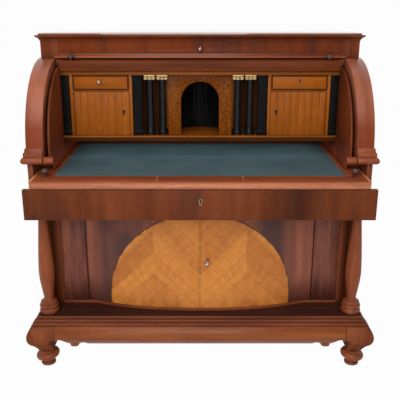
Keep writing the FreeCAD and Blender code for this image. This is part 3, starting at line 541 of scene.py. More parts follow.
# painted shade: behind its front nosing the board is darker, so the nosing looks lit
paleMahogany = polishedWood(
    "mahoganySlide", mahoganyLook,
    shade=shadeOn("Y", -0.365, -0.345, (0.84, 0.58, 0.45)),
    stops=tones((0.3, 0.09, 0.042), (0.42, 0.14, 0.066), (0.52, 0.2, 0.1)))
flamePatch = {
    "stretch": (3.2, 3.2, 0.9), "shift": (0.35, 0.0, 0.2), "scale": 2.0, "detail": 3.0, "rough": 0.55, "twist": 0.4,
    "low": 0.5, "high": 0.66, "amount": 0.7, "colour": (0.055, 0.018, 0.013),
}
flameLook = variant(
    mahoganyLook, stretch=veneered, patch=flamePatch, specular=0.05, coat=0.0,
    stops=tones((0.092, 0.018, 0.0045), (0.162, 0.032, 0.008), (0.226, 0.05, 0.012)))
flameMahogany = polishedWood("flameMahogany", flameLook)
apronMahogany = polishedWood(
    "apronMahogany", flameLook,
    shade=shadeOn("X", 0.13, 0.0, (0.4, 0.45, 0.6), at=0.345),
    stops=tones((0.074, 0.018, 0.0063), (0.132, 0.032, 0.0112), (0.184, 0.05, 0.0168)))
bedLow = nodeBox("drawer_bed")[0].z
# painted highlight: the drawer bed is a lighter copy of the mahogany so its bead looks lit; above the bead it is
# multiplied back darker
beadMahogany = polishedWood(
    "mahoganyBead", mahoganyLook, specular=0.2, coat=0.1, stops=toned(redStops, 1.5),
    shade=shadeOn("Z", bedLow + 0.0075, bedLow + 0.0085, (0.48, 0.42, 0.36)))
doorPatch = variant(
    flamePatch, shift=(0.1, 0.0, 0.7), stretch=(3.6, 3.6, 0.8), scale=1.6, low=0.34, high=0.54, amount=0.9,
    colour=(0.055, 0.026, 0.025), fade=shadeOn("X", 0.45, 0.36, mirrored=True))
# painted shade: doors and end panels darken towards their foot, by the sill
cupboardLook = variant(
    mahoganyLook, stretch=veneered, grime=0.4, grimeColour=(0.06, 0.022, 0.014),
    shade=shadeOn("Z", 0.32, 0.23, (0.4, 0.34, 0.34)))
doorMahogany = polishedWood(
    "doorMahogany", cupboardLook, patch=doorPatch, pores=0.25,
    stops=tones((0.17, 0.052, 0.032), (0.27, 0.083, 0.047), (0.37, 0.12, 0.064)))
endMahogany = polishedWood(
    "endMahogany", cupboardLook, pores=0.3, streak=0.8,
    figure={"Streak Scale": 6.0, "Pore Scale": 38.0, "Cloud Scale": 1.1, "Warp": 0.1},
    stops=tones((0.075, 0.025, 0.018), (0.155, 0.049, 0.032), (0.25, 0.083, 0.047), 0.16))
galleryShade = polishedWood(
    "galleryShade", mahoganyLook, stretch=upright, specular=0.03, coat=0.0,
    stops=tones((0.06, 0.018, 0.005), (0.1, 0.03, 0.009), (0.15, 0.05, 0.014)))
pineLook = variant(
    mahoganyLook, stretch=upright, wear=0.15, wearColour=(0.62, 0.46, 0.28), grimeColour=(0.12, 0.07, 0.04),
    stops=tones((0.32, 0.17, 0.075), (0.45, 0.26, 0.12), (0.56, 0.34, 0.165)), poreColour=(0.26, 0.15, 0.08),
    roughness=0.55, coat=0.0)
pine = polishedWood("carcassPine", pineLook)
# painted shade: the planks' inner faces are dark brown, as the inside of the case lies in shade
plankPine = polishedWood(
    "plankPine", pineLook, shade=shadeOn("Y", 0.366, 0.3625, (0.22, 0.14, 0.1)))
stripLook = variant(
    mahoganyLook, stretch=inwards, stops=tones((0.62, 0.25, 0.08), (0.72, 0.32, 0.11), (0.8, 0.4, 0.16)),
    poreColour=(0.5, 0.22, 0.08))
paleStrip = polishedWood("paleStrip", stripLook, stops=toned(stripLook["stops"], 1.3), specular=0.3)
sidesFront = nodeBox("slide_sides")[0].y
# painted shade: the slide's pale side strips are darkened at their front ends
slideStrip = polishedWood(
    "slideStrip", stripLook,
    shade=shadeOn("Y", sidesFront + 0.004, sidesFront + 0.001, (0.3, 0.16, 0.1)))
birchPatch = variant(
    flamePatch, stretch=(3.0, 3.0, 2.0), shift=(0.2, 0.1, 0.0), scale=14.0, low=0.45, high=0.75, amount=0.35,
    colour=(0.17, 0.038, 0.003))
birchLook = variant(
    mahoganyLook, stretch=(8.0, 8.0, 1.0), wear=0.2, wearColour=(0.62, 0.32, 0.1), grimeColour=(0.1, 0.04, 0.012),
    stops=tones((0.21, 0.051, 0.004), (0.3, 0.077, 0.005), (0.4, 0.114, 0.01)), poreColour=(0.17, 0.04, 0.004),
    pores=0.35, specular=0.08, coat=0.0, patch=birchPatch)
birch = polishedWood("goldenBirch", birchLook)
birchLong = polishedWood("goldenBirchLong", birchLook, stretch=(1.0, 8.0, 8.0))
darkWood = polishedWood(
    "darkTurnery", mahoganyLook, stretch=upright, roughness=0.18, coat=0.25, wearColour=(0.2, 0.09, 0.07),
    stops=tones((0.05, 0.02, 0.018), (0.085, 0.034, 0.03), (0.13, 0.055, 0.046)), poreColour=(0.03, 0.012, 0.01))
print("woods ready")

# burl: tight swirls with dark eyes
panelTop = nodeBox("niche_panel")[1].z
burlLook = {
    "swirl": {"Scale": 90.0, "Detail": 5.0, "Distortion": 0.6},
    "stops": [(0.3, (0.08, 0.018, 0.0014)), (0.52, (0.17, 0.043, 0.0025)), (0.74, (0.27, 0.077, 0.0048))],
    # painted shade: the panel darkens towards its top, under the roof
    "shade": shadeOn("Z", panelTop - 0.07, panelTop, (0.6, 0.56, 0.52)),
    "eyeScale": 150.0, "eyeRange": (0.3, 0.1), "eyes": 0.55, "eyeColour": (0.09, 0.026, 0.006),
    "edgeReach": 0.003, "wear": 0.0, "wearColour": (0.0, 0.0, 0.0),
    "reach": 0.02, "grime": 0.6, "grimeColour": (0.05, 0.018, 0.006), "roughness": 0.34, "specular": 0.06,
}
evenly = (1, 1, 1)


def burlVeneer():
    material, tree, shader = newMaterial("burlVeneer")
    vector = grainVector(tree, evenly)
    swirl = put(tree, "ShaderNodeTexNoise", Vector=vector, **burlLook["swirl"])
    colour = ramp(tree, swirl.outputs["Fac"], burlLook["stops"])
    # painted shade towards the panel's top
    shade = burlLook["shade"]
    colour = mixColour(tree, shadeShare(tree, shade), colour, shade["colour"], "MULTIPLY")
    eyes = put(tree, "ShaderNodeTexVoronoi", Vector=vector, Scale=burlLook["eyeScale"])
    spots = spread(tree, eyes.outputs["Distance"], *burlLook["eyeRange"])
    colour = tinted(tree, colour, spots, burlLook["eyes"], burlLook["eyeColour"])
    feedAll(tree, shader, {"Base Color": agedAndShaded(tree, colour, burlLook), "Roughness": burlLook["roughness"],
                           "Specular IOR Level": burlLook["specular"]})
    return material


# half-round door veneer: slanting strips that meet over the middle of each door
lunetteHigh = nodeBox("lunette_right")[1]
chevron = {
    "radius": lunetteHigh.x, "centre": lunetteHigh.z - lunetteHigh.x, "apex": 0.18, "stripWidth": 0.062,
    "run": 0.72, "climb": 0.69, "pitch": 12.0, "shift": 3.1,
    "figure": {"Streak Scale": 5.0, "Pore Scale": 60.0, "Cloud Scale": 3.0, "Warp": 0.08},
    "ripple": {"Scale": 70.0, "Detail": 4.0, "Distortion": 1.4}, "ripplePitch": 0.3,
    "streakShare": 0.14, "toneShare": 0.15, "rippleShare": 0.3, "cloudShare": 0.15,
    "stops": [(0.24, (0.33, 0.095, 0.012)), (0.37, (0.47, 0.15, 0.02)), (0.5, (0.6, 0.22, 0.035))],
    "fleckRange": (0.6, 0.75), "flecks": 0.4, "fleckColour": (0.3, 0.1, 0.02),
    "seamWidth": 0.025, "seams": 0.14, "seamColour": (0.24, 0.08, 0.02),
    "burn": {"Scale": 22.0, "Detail": 4.0}, "burnFoot": (0.26, 0.205), "burnRange": (0.48, 0.62), "burns": 0.5,
    "burnColour": (0.16, 0.055, 0.018),
    "line": 0.003, "lineShare": 0.85, "lineColour": (0.05, 0.016, 0.008),
    "roughness": 0.38, "specular": 0.3, "coat": 0.08, "bump": 0.1, "bumpDepth": 0.0006,
}


def chevronVeneer():
    material, tree, shader = newMaterial("chevronVeneer")
    place = put(tree, "ShaderNodeTexCoord").outputs["Object"]
    x, y, z = put(tree, "ShaderNodeSeparateXYZ", Vector=place).outputs
    across = minus(tree, absolute(tree, x), chevron["apex"])
    away = absolute(tree, across)
    slant = plus(tree, times(tree, away, chevron["run"]), times(tree, z, chevron["climb"]))
    along = minus(tree, times(tree, away, chevron["climb"]), times(tree, z, chevron["run"]))
    strip = mathNode(tree, "DIVIDE", slant, chevron["stripWidth"])
    index = mathNode(tree, "FLOOR", strip)
    code = combined(tree, index, mathNode(tree, "SIGN", across), mathNode(tree, "SIGN", x))
    tone = put(tree, "ShaderNodeTexWhiteNoise", Vector=code)
    grain = combined(tree, along, times(tree, slant, chevron["pitch"]), times(tree, index, chevron["shift"]))
    figure = groupNode(tree, woodFigure, Vector=grain, **chevron["figure"])
    crossways = combined(tree, along, times(tree, slant, chevron["ripplePitch"]), index)
    ripple = put(tree, "ShaderNodeTexNoise", Vector=crossways, **chevron["ripple"])
    plain = plus(tree, times(tree, figure["Streak"], chevron["streakShare"]),
                 times(tree, tone.outputs["Value"], chevron["toneShare"]))
    lively = plus(tree, times(tree, ripple.outputs["Fac"], chevron["rippleShare"]),
                  times(tree, figure["Cloud"], chevron["cloudShare"]))
    colour = ramp(tree, plus(tree, plain, lively), chevron["stops"])
    flecks = spread(tree, figure["Pore"], *chevron["fleckRange"])
    colour = tinted(tree, colour, flecks, chevron["flecks"], chevron["fleckColour"])
    seam = mathNode(tree, "LESS_THAN", mathNode(tree, "FRACT", strip), chevron["seamWidth"])
    colour = tinted(tree, colour, seam, chevron["seams"], chevron["seamColour"])
    burn = put(tree, "ShaderNodeTexNoise", Vector=place, **chevron["burn"])
    scorch = times(tree, spread(tree, z, *chevron["burnFoot"]), spread(tree, burn.outputs["Fac"], *chevron["burnRange"]))
    colour = tinted(tree, colour, scorch, chevron["burns"], chevron["burnColour"])
    rise = minus(tree, z, chevron["centre"])
    reach = mathNode(tree, "SQRT", plus(tree, times(tree, x, x), times(tree, rise, rise)))
    rim = mathNode(tree, "GREATER_THAN", reach, chevron["radius"] - chevron["line"])
    colour = tinted(tree, colour, rim, chevron["lineShare"], chevron["lineColour"])
    feedAll(tree, shader, {"Base Color": colour, "Roughness": chevron["roughness"],
                           "Specular IOR Level": chevron["specular"], "Coat Weight": chevron["coat"]})
    bumped(tree, shader, figure["Pore"], chevron["bump"], chevron["bumpDepth"])
    return material


# writing leather: fine pebbles, faint cross wear
leatherLook = {
    "pebbleScale": 520.0, "cloud": {"Scale": 7.0, "Detail": 5.0},
    "rub": {"Scale": 6.0, "Detail": 6.0}, "rubStretch": (0.7, 7.0, 1.0),
    "stops": tones((0.064, 0.111, 0.127), (0.078, 0.133, 0.15), (0.094, 0.153, 0.169)),
    "rubRange": (0.52, 0.75), "rubShare": 0.4, "rubColour": (0.115, 0.175, 0.19),
    "roughness": 0.42, "roughSpread": 0.25, "specular": 0.15, "bump": 0.3, "bumpDepth": 0.0004,
}


def writingLeather():
    material, tree, shader = newMaterial("writingLeather")
    vector = grainVector(tree, evenly)
    pebble = put(tree, "ShaderNodeTexVoronoi", Vector=vector, Scale=leatherLook["pebbleScale"])
    cloud = put(tree, "ShaderNodeTexNoise", Vector=vector, **leatherLook["cloud"])
    rubVector = grainVector(tree, leatherLook["rubStretch"])
    rub = put(tree, "ShaderNodeTexNoise", Vector=rubVector, **leatherLook["rub"]).outputs["Fac"]
    colour = ramp(tree, cloud.outputs["Fac"], leatherLook["stops"])
    rubbed = spread(tree, rub, *leatherLook["rubRange"])
    colour = tinted(tree, colour, rubbed, leatherLook["rubShare"], leatherLook["rubColour"])
    rough = plus(tree, times(tree, rub, leatherLook["roughSpread"]), leatherLook["roughness"])
    feedAll(tree, shader, {"Base Color": colour, "Roughness": rough, "Specular IOR Level": leatherLook["specular"]})
    bumped(tree, shader, pebble.outputs["Distance"], leatherLook["bump"], leatherLook["bumpDepth"])
    return material


# metals and black gloss share a mottled surface
def mottled(name, look, **changes):
    look = variant(look, **changes)
    material, tree, shader = newMaterial(name)
    noise = put(tree, "ShaderNodeTexNoise", Vector=grainVector(tree, evenly), Scale=look["scale"], Detail=look["detail"])
    colour = ramp(tree, noise.outputs["Fac"], [(0.3, look["dark"]), (0.6, look["light"])])
    rough = plus(tree, times(tree, noise.outputs["Fac"], look["roughSpread"]), look["roughness"])
    feedAll(tree, shader, {"Base Color": agedAndShaded(tree, colour, look), "Roughness": rough, "Metallic": look["metallic"],
                           "Specular IOR Level": look["specular"]})
    return material


metalLook = {
    "scale": 90.0, "detail": 5.0, "dark": (0.42, 0.26, 0.1), "light": (0.62, 0.42, 0.18), "reach": 0.006,
    "edgeReach": 0.0012, "wear": 0.5, "wearColour": (0.8, 0.6, 0.32), "grime": 0.8, "grimeColour": (0.05, 0.03, 0.012),
    "roughness": 0.22, "roughSpread": 0.25, "metallic": 1.0, "specular": 0.5,
}
brass = mottled("agedBrass", metalLook)
gilt = mottled(
    "wornGilt", metalLook, dark=(0.38, 0.25, 0.09), light=(0.58, 0.42, 0.2), wearColour=(0.75, 0.6, 0.36),
    metallic=0.45, roughness=0.35)
steel = mottled(
    "keySteel", metalLook, dark=(0.36, 0.34, 0.3), light=(0.6, 0.57, 0.52), wearColour=(0.75, 0.72, 0.68),
    grimeColour=(0.05, 0.045, 0.04))
iron = mottled(
    "blackIron", metalLook, dark=(0.03, 0.03, 0.03), light=(0.08, 0.075, 0.07), wearColour=(0.2, 0.19, 0.18),
    metallic=0.7, roughness=0.45)
ebonyLook = variant(
    metalLook, scale=30.0, dark=(0.003, 0.003, 0.0035), light=(0.006, 0.006, 0.0065), wearColour=(0.04, 0.035, 0.03),
    wear=0.2, grime=0.4, grimeColour=(0.001, 0.001, 0.001), metallic=0.0, roughness=0.1, roughSpread=0.06, specular=0.04)
ebony = mottled(
    "ebonisedGloss", ebonyLook, light=(0.007, 0.007, 0.0075), wearColour=(0.03, 0.028, 0.025), wear=0.3,
    roughness=0.3, roughSpread=0.12)
ebonyGloss = mottled("ebonisedMirror", ebonyLook)
columnGloss = mottled("ebonisedColumn", ebonyLook, roughness=0.08, specular=0.2)
# painted shade: a near-black slot stands for each keyhole's opening
keyholeShadow = mottled(
    "keyholePaintedShade", metalLook, dark=(0.004, 0.003, 0.003), light=(0.009, 0.007, 0.006), wear=0.0, metallic=0.0,
    roughness=0.7)
burl = burlVeneer()
veneer = chevronVeneer()
leather = writingLeather()
print("finishes ready")

# joinery that keeps its solid's form: nodes, eased edge, finish
joinery = [
    ("plinth_board", 0.0016, plinthMahogany),
    ("base_rail_front", 0.0025, railMahogany),
    ("base_rail_sides", 0.002, mahoganyDeep),
    ("base_rail_back", 0.0015, pine),
    ("corner_posts", 0.002, postMahogany),
    ("end_panels", 0.0005, endMahogany),
    ("lower_sides", 0.001, mahoganyUpright),
    ("cabinet_shelf", 0.001, pine),
    ("door_sill", 0.002, mahogany),
    ("mid_board", 0.0012, mahogany),
    ("door_left door_right", 0.0005, doorMahogany),
    ("side_rails", 0.0015, caseDeep),
    ("string_mouldings", 0.0018, mahogany),
    ("arch_side_right arch_side_left", 0.002, archMahogany),
    ("drawer_bed", 0.001, beadMahogany),
    ("cornice_ends", 0.0012, caseUpright),
    ("top_board", 0.0018, topMahogany),
    ("frieze_front", 0.0012, flameMahogany),
    ("frieze_box", 0.0008, pine),
    ("apron", 0.0016, apronMahogany),
    ("slide_sides", 0.0008, slideStrip),
    ("writing_board", 0.001, paleMahogany),
    ("cylinder_shell", 0.001, mahogany),
    ("cylinder_rail", 0.0016, caseMahogany),
    ("linings", 0.001, liningMahogany),
    ("gallery_floor gallery_top", 0.0012, birchLong),
    ("gallery_back", 0.0, galleryShade),
    ("gallery_partitions", 0.0008, birch),
    ("pilasters", 0.001, ebony),
    ("niche_panel", 0.001, burl),
    ("niche_shell", 0.0, ebonyGloss),
    ("interior_drawer_right interior_drawer_left", 0.001, birchLong),
    ("interior_door_right interior_door_left", 0.0006, birch),
    ("leather_panel", 0.0, leather),
    ("lunette_left lunette_right", 0.0, veneer),
]
otherNames = {"apron": "apronFront", "linings": "sideLinings", "pilasters": "ebonisedPilasters"}


# a piece is named after its node, and the fitment's drawers and doors are the small ones
def pieceNameOf(nodeName):
    first, *words = nodeName.replace("interior", "small").split("_")
    return otherNames.get(nodeName, first + "".join(word.capitalize() for word in words))


for nodeNames, edge, finish in joinery:
    for nodeName in nodeNames.split():
        easedCopy(nodeName, pieceNameOf(nodeName), edge, finish)
print("joinery done")

# scrolled legs: the mesh is rebuilt evenly and worn soft
legPiece = {"grid": 0.0022, "wear": 0.5, "passes": 24, "shadeAngle": 60}
for nodeName, pieceName in (("front_leg_right", "frontLegRight"), ("front_leg_left", "frontLegLeft")):
    leg = nodeCopy(nodeName, pieceName)
    applyModifier(leg, "evenGrid", "REMESH", mode="VOXEL", voxel_size=legPiece["grid"])
    applyModifier(leg, "wornEdges", "SMOOTH", factor=legPiece["wear"], iterations=legPiece["passes"])
    smoothShade(leg, legPiece["shadeAngle"])
    dress(leg, nodeName, legMahogany)
print("legs softened")

# ironwork and locks keep their solids
for nodeName, finish in (("pivot_pins", iron), ("door_pins", iron), ("cylinder_arms", iron), ("door_lock", brass),
                         ("slide_lock", brass)):
    paint(nodes[nodeName], finish)
    smoothShade(nodes[nodeName])

# turned columns
columnPiece = {
    "radius": 0.033, "x": 0.591, "y": -0.251, "steps": 40,
    "shares": [(0.0, 0.0), (1.08, 0.0), (1.13, 0.01), (1.14, 0.024), (1.1, 0.04), (1.0, 0.048), (0.98, 0.05),
               (0.98, 0.057), (1.06, 0.06), (1.11, 0.068), (1.1, 0.08), (1.0, 0.086), (0.92, 0.088), (0.9, 0.092),
               (0.96, 0.098), (0.97, 0.106), (0.92, 0.116), (0.7, 0.12), (0.58, 0.126), (0.52, 0.14), (0.57, 0.17),
               (0.68, 0.23), (0.84, 0.32), (0.91, 0.395), (0.9, 0.46), (0.84, 0.56), (0.74, 0.68), (0.62, 0.8),
               (0.53, 0.9), (0.5, 0.94), (0.7, 0.944), (0.86, 0.95), (0.97, 0.96), (1.0, 0.972), (1.0, 0.998),
               (0.99, 1.0), (0.0, 1.0)],
}
for side, nodeName, pieceName in ((1, "column_right", "columnRight"), (-1, "column_left", "columnLeft")):
    lowCorner, highCorner = nodeBox(nodeName)
    profile = scaledProfile(columnPiece["shares"], columnPiece["radius"], highCorner.z - lowCorner.z, lowCorner.z)
    column = lathe(pieceName, profile, side * columnPiece["x"], columnPiece["y"], columnPiece["steps"])
    easeTurning(column)
    dress(column, nodeName, mahoganyUpright)
print("columns turned")

# turned feet
footPiece = {
    "x": 0.599, "y": -0.295, "rearX": 0.593, "rearY": 0.323, "pad": 0.028, "collar": 0.045, "padHeight": 0.026,
    "collarBottom": 0.029, "collarHeight": 0.025, "neckTop": 0.06, "tilt": 9.0, "steps": 40,
    "padShares": [(0.0, 0.0), (0.8, 0.0), (0.94, 0.04), (1.0, 0.14), (1.0, 0.34), (0.92, 0.46), (0.78, 0.54),
                  (0.78, 0.6), (0.86, 0.64), (0.86, 1.0)],
    "collarShares": [(0.0, 0.0), (0.8, 0.0), (0.93, 0.1), (1.0, 0.34), (1.0, 0.62), (0.93, 0.86), (0.78, 1.0),
                     (0.0, 1.0)],
}


def turnFoot(x, y, stemTop, tilt):
    profile = scaledProfile(footPiece["padShares"], footPiece["pad"], footPiece["padHeight"], 0.0)
    top = max(stemTop, footPiece["neckTop"])
    profile += [(footPiece["pad"], footPiece["padHeight"]), (footPiece["pad"], top), (0.0, top)]
    pad = lathe("pad", profile, x, y, footPiece["steps"])
    middle = footPiece["collarHeight"] / 2
    profile = scaledProfile(footPiece["collarShares"], footPiece["collar"], footPiece["collarHeight"], -middle)
    collar = lathe("collar", profile, 0, 0, footPiece["steps"])
    collar.rotation_euler = (0, math.radians(tilt), 0)
    collar.location = (x, y, footPiece["collarBottom"] + middle)
    applyPlace(collar)
    foot = joinPieces("foot", [pad, collar])
    easeTurning(foot)
    return foot


def turnFeet(name, nodeName, x, y, stemTop, tilt):
    feet = joinPieces(name, [turnFoot(side * x, y, stemTop, side * tilt) for side in (1, -1)])
    dress(feet, nodeName, mahoganyUpright)


turnFeet("frontFeet", "front_feet", footPiece["x"], footPiece["y"], 0.0, footPiece["tilt"])
turnFeet("rearFeet", "rear_feet", footPiece["rearX"], footPiece["rearY"], nodeBox("rear_feet")[1].z, 0.0)
print("feet turned")

# ball knobs of the slide and of the cylinder's rail
knobPiece = {
    "shares": [(0.0, 0.0), (0.44, 0.0), (0.47, 0.1), (0.42, 0.18), (0.56, 0.24), (0.8, 0.34), (0.95, 0.47), (1.0, 0.6),
               (0.95, 0.76), (0.8, 0.89), (0.55, 0.97), (0.28, 0.995), (0.0, 1.0)],
    "slideRadius": 0.013, "slideHeight": 0.032, "cylinderRadius": 0.012, "cylinderHeight": 0.025,
    "cylinderAngle": 80.2, "cylinderFace": 0.308, "steps": 32, "shadeAngle": 50,
}


def turnKnobs(name, nodeName, radius, height, place, tilt):
    knobs = []
    for side in (1, -1):
        knob = lathe("knob", scaledProfile(knobPiece["shares"], radius, height, 0.0), 0.0, 0.0, knobPiece["steps"])
        smoothShade(knob, knobPiece["shadeAngle"])
        knob.location = (side * place[0], place[1], place[2])
        knob.rotation_euler = (math.radians(tilt), 0.0, 0.0)
        applyPlace(knob)
        knobs.append(knob)
    dress(joinPieces(name, knobs), nodeName, darkWood)


slideLow, slideHigh = nodeBox("slide_knobs")
boardTop = nodeBox("writing_board")[1].z
turnKnobs("slideKnobs", "slide_knobs", knobPiece["slideRadius"], knobPiece["slideHeight"],
          (slideHigh.x - knobPiece["slideRadius"], (slideLow.y + slideHigh.y) / 2, boardTop), 0.0)
rimAngle = math.radians(knobPiece["cylinderAngle"])
rimPlace = (nodeBox("cylinder_knobs")[1].x - knobPiece["cylinderRadius"],
            cylinderAxis["y"] - knobPiece["cylinderFace"] * math.cos(rimAngle),
            cylinderAxis["z"] + knobPiece["cylinderFace"] * math.sin(rimAngle))
turnKnobs("cylinderKnobs", "cylinder_knobs", knobPiece["cylinderRadius"], knobPiece["cylinderHeight"], rimPlace,
          90.0 - knobPiece["cylinderAngle"])
print("knobs turned")

# four little columns of the fitment, with gilt scroll capitals
postPiece = {
    "xs": (0.14875, 0.19825), "y": 0.02175, "radius": 0.014, "bottom": 0.853, "height": 0.22, "steps": 32,
    "shares": [(0.0, 0.0), (1.46, 0.0), (1.46, 0.05), (1.4, 0.052), (1.46, 0.062), (1.46, 0.078), (1.36, 0.088),
               (1.12, 0.092), (1.08, 0.1), (1.2, 0.106), (1.24, 0.116), (1.18, 0.126), (1.02, 0.13), (1.0, 0.14),
               (1.0, 0.3), (0.97, 0.6), (0.9, 0.9), (0.88, 0.93), (1.0, 0.936), (1.04, 0.948), (1.0, 0.96),
               (0.9, 0.966), (0.9, 1.0), (0.0, 1.0)],
}
capitalPiece = {
    "height": 0.019, "width": 0.0435, "abacus": 0.0052, "abacusEdge": 0.0012, "scroll": 0.0068, "scrollInset": 0.002,
    "scrollEdge": 0.0008, "rings": ((0.0056, 0.0012), (0.0029, 0.0009)), "eye": 0.0016, "eyeInset": 0.0008, "steps": 28,
    "echinus": [(0.0, 0.0), (1.02, 0.0), (1.12, 0.25), (1.05, 0.5), (1.28, 0.75), (1.3, 1.0), (0.0, 1.0)],
}
facing = (math.radians(90), 0, 0)
postSides = [side * x for side in (1, -1) for x in postPiece["xs"]]
postProfile = scaledProfile(postPiece["shares"], postPiece["radius"], postPiece["height"], postPiece["bottom"])
posts = [lathe("post", postProfile, x, postPiece["y"], postPiece["steps"]) for x in postSides]
posts = joinPieces("fitmentColumns", posts)
smoothShade(posts, turning["shadeAngle"])
dress(posts, "gallery_columns", columnGloss)


def scrollCapital(x):
    base = postPiece["bottom"] + postPiece["height"]
    top = base + capitalPiece["height"]
    half = capitalPiece["width"] / 2
    scroll = capitalPiece["scroll"]
    steps = capitalPiece["steps"]
    front = postPiece["y"] - half
    height = capitalPiece["height"] - capitalPiece["abacus"]
    profile = scaledProfile(capitalPiece["echinus"], postPiece["radius"], height, base)
    parts = [boardBetween("abacus", (x - half, front, top - capitalPiece["abacus"]), (x + half, front + 2 * half, top),
                          capitalPiece["abacusEdge"]),
             lathe("echinus", profile, x, postPiece["y"], steps)]
    for side in (1, -1):
        centre = (x + side * (half - scroll), postPiece["y"], base + scroll)
        eye = (centre[0], front + capitalPiece["eyeInset"], centre[2])
        bpy.ops.mesh.primitive_cylinder_add(vertices=steps, radius=scroll, depth=2 * half - capitalPiece["scrollInset"],
                                            location=centre, rotation=facing)
        barrel = bpy.context.object
        applyPlace(barrel)
        easeEdges(barrel, capitalPiece["scrollEdge"])
        parts.append(barrel)
        for ring, cord in capitalPiece["rings"]:
            bpy.ops.mesh.primitive_torus_add(location=eye, rotation=facing, major_radius=ring, minor_radius=cord,
                                             major_segments=steps, minor_segments=8)
            parts.append(bpy.context.object)
        bpy.ops.mesh.primitive_uv_sphere_add(segments=12, ring_count=8, radius=capitalPiece["eye"], location=eye)
        parts.append(bpy.context.object)
    for part in parts:
        applyPlace(part)
    return joinPieces("capital", parts)


capitals = joinPieces("scrollCapitals", [scrollCapital(x) for x in postSides])
smoothShade(capitals, turning["shadeAngle"])
dress(capitals, "gilt_capitals", gilt)
print("capitals done")

# keys: a turned shank, a collar and an oval ring
keyPiece = {
    "shank": [(0.0, 0.009), (0.0028, 0.009), (0.0028, -0.008), (0.0042, -0.009), (0.0046, -0.0105), (0.0042, -0.012),
              (0.0028, -0.013), (0.0026, -0.03), (0.0034, -0.0315), (0.0034, -0.034), (0.0, -0.0345)],
    "ring": 0.0095, "wire": 0.0023, "ringPlace": 0.0405, "ringDepth": 0.78, "steps": 20,
    "leans": (("cupboardKey", "door_key", 90.0), ("friezeKey", "frieze_key", 12.0), ("smallKey", "drawer_key", 0.0)),
}
keyPlaces = {joint["child"]: joint["pos_m"] for joint in behaviour["joints"] if "pos_m" in joint}
for keyName, nodeName, lean in keyPiece["leans"]:
    shank = lathe("shank", keyPiece["shank"], 0.0, 0.0, keyPiece["steps"])
    shank.rotation_euler = (math.radians(-90), 0, 0)
    applyPlace(shank)
    bpy.ops.mesh.primitive_torus_add(location=(0, -keyPiece["ringPlace"], 0), rotation=(0, math.radians(90), 0),
                                     major_segments=32, minor_segments=12, major_radius=keyPiece["ring"],
                                     minor_radius=keyPiece["wire"])
    ring = bpy.context.object
    ring.scale = (1.0, keyPiece["ringDepth"], 1.0)
    applyPlace(ring)
    key = joinPieces(keyName, [shank, ring])
    key.rotation_euler = (0, math.radians(lean), 0)
    key.location = keyPlaces[bodyOf[nodeName]]
    applyPlace(key)
    smoothShade(key, turning["shadeAngle"])
    dress(key, nodeName, steel)
print("keys done")


# thin trim that stands for no node
def trim(piece, finish, slotName, bodyName):
    paint(piece, finish)
    settle(piece, slotName, bodyName)


# keyholes: a dark slot painted as the shade of the keyhole's opening, one of them in a thin liner; name, place, body,
# size, lined
apronFace = nodeBox("apron")[0].y
fitmentFace = nodeBox("interior_drawer_right")[0].y
keyholePiece = {"proud": 0.0005, "round": 0.0038, "slot": 0.0017, "drop": 0.0105, "rim": 0.0016, "steps": 24}
keyholes = [
    ("apronKeyhole", (0.002, apronFace, 0.694), "writing_slide", 1.3, True),
    ("rightDoorKeyhole", (0.302, fitmentFace, 0.95), "small_door_right", 1.5, False),
    ("leftDoorKeyhole", (-0.302, fitmentFace, 0.95), "small_door_left", 1.5, False),
    ("rightDrawerKeyhole", (0.3895, fitmentFace, 1.071), "small_drawer_right", 1.0, False),
]


def keyholeShape(name, place, size, grow, proud):
    x, faceY, z = place
    bpy.ops.mesh.primitive_cylinder_add(vertices=keyholePiece["steps"], radius=keyholePiece["round"] * size + grow,
                                        depth=2 * proud, location=place, rotation=facing)
    head = bpy.context.object
    applyPlace(head)
    half = keyholePiece["slot"] * size + grow
    foot = z - keyholePiece["drop"] * size - grow
    tail = boardBetween("tail", (x - half, faceY - proud, foot), (x + half, faceY + proud, z))
    return joinPieces(name, [head, tail])


for name, place, bodyName, size, lined in keyholes:
    trim(keyholeShape(name + "Slot", place, size, 0.0, keyholePiece["proud"] * 2), keyholeShadow, "iron", bodyName)
    if lined:
        liner = keyholeShape(name + "Liner", place, size, keyholePiece["rim"], keyholePiece["proud"])
        trim(liner, brass, "brass", bodyName)
print("keyholes done")

# dark bands round the little drawers, and the strip under the fitment's floor
bandPiece = {"width": 0.005, "proud": 0.0006, "stripDrop": 0.0065}
bandDark = polishedWood(
    "drawerBand", mahoganyLook, specular=0.03, coat=0.0, wear=0.0,
    stops=tones((0.025, 0.008, 0.003), (0.045, 0.013, 0.004), (0.065, 0.02, 0.006)))


def drawerBand(name, nodeName):
    lowCorner, highCorner = nodeBox(nodeName)
    width = bandPiece["width"]
    front = lowCorner.y - bandPiece["proud"]
    back = lowCorner.y + bandPiece["proud"]
    x0, x1, z0, z1 = lowCorner.x, highCorner.x, lowCorner.z, highCorner.z
    edges = [((x0, z0), (x1, z0 + width)), ((x0, z1 - width), (x1, z1)),
             ((x0, z0 + width), (x0 + width, z1 - width)), ((x1 - width, z0 + width), (x1, z1 - width))]
    strips = [boardBetween("strip", (a, front, b), (c, back, d)) for (a, b), (c, d) in edges]
    trim(joinPieces(name, strips), bandDark, "dark_wood", bodyOf[nodeName])


drawerBand("rightDrawerBand", "interior_drawer_right")
drawerBand("leftDrawerBand", "interior_drawer_left")
floorLow, floorHigh = nodeBox("gallery_floor")
floorStrip = boardBetween("fitmentStrip", (floorLow.x, floorLow.y - bandPiece["proud"], floorLow.z),
                          (floorHigh.x, floorLow.y + bandPiece["proud"], floorHigh.z - bandPiece["stripDrop"]))
trim(floorStrip, bandDark, "dark_wood", "case")
print("bands done")

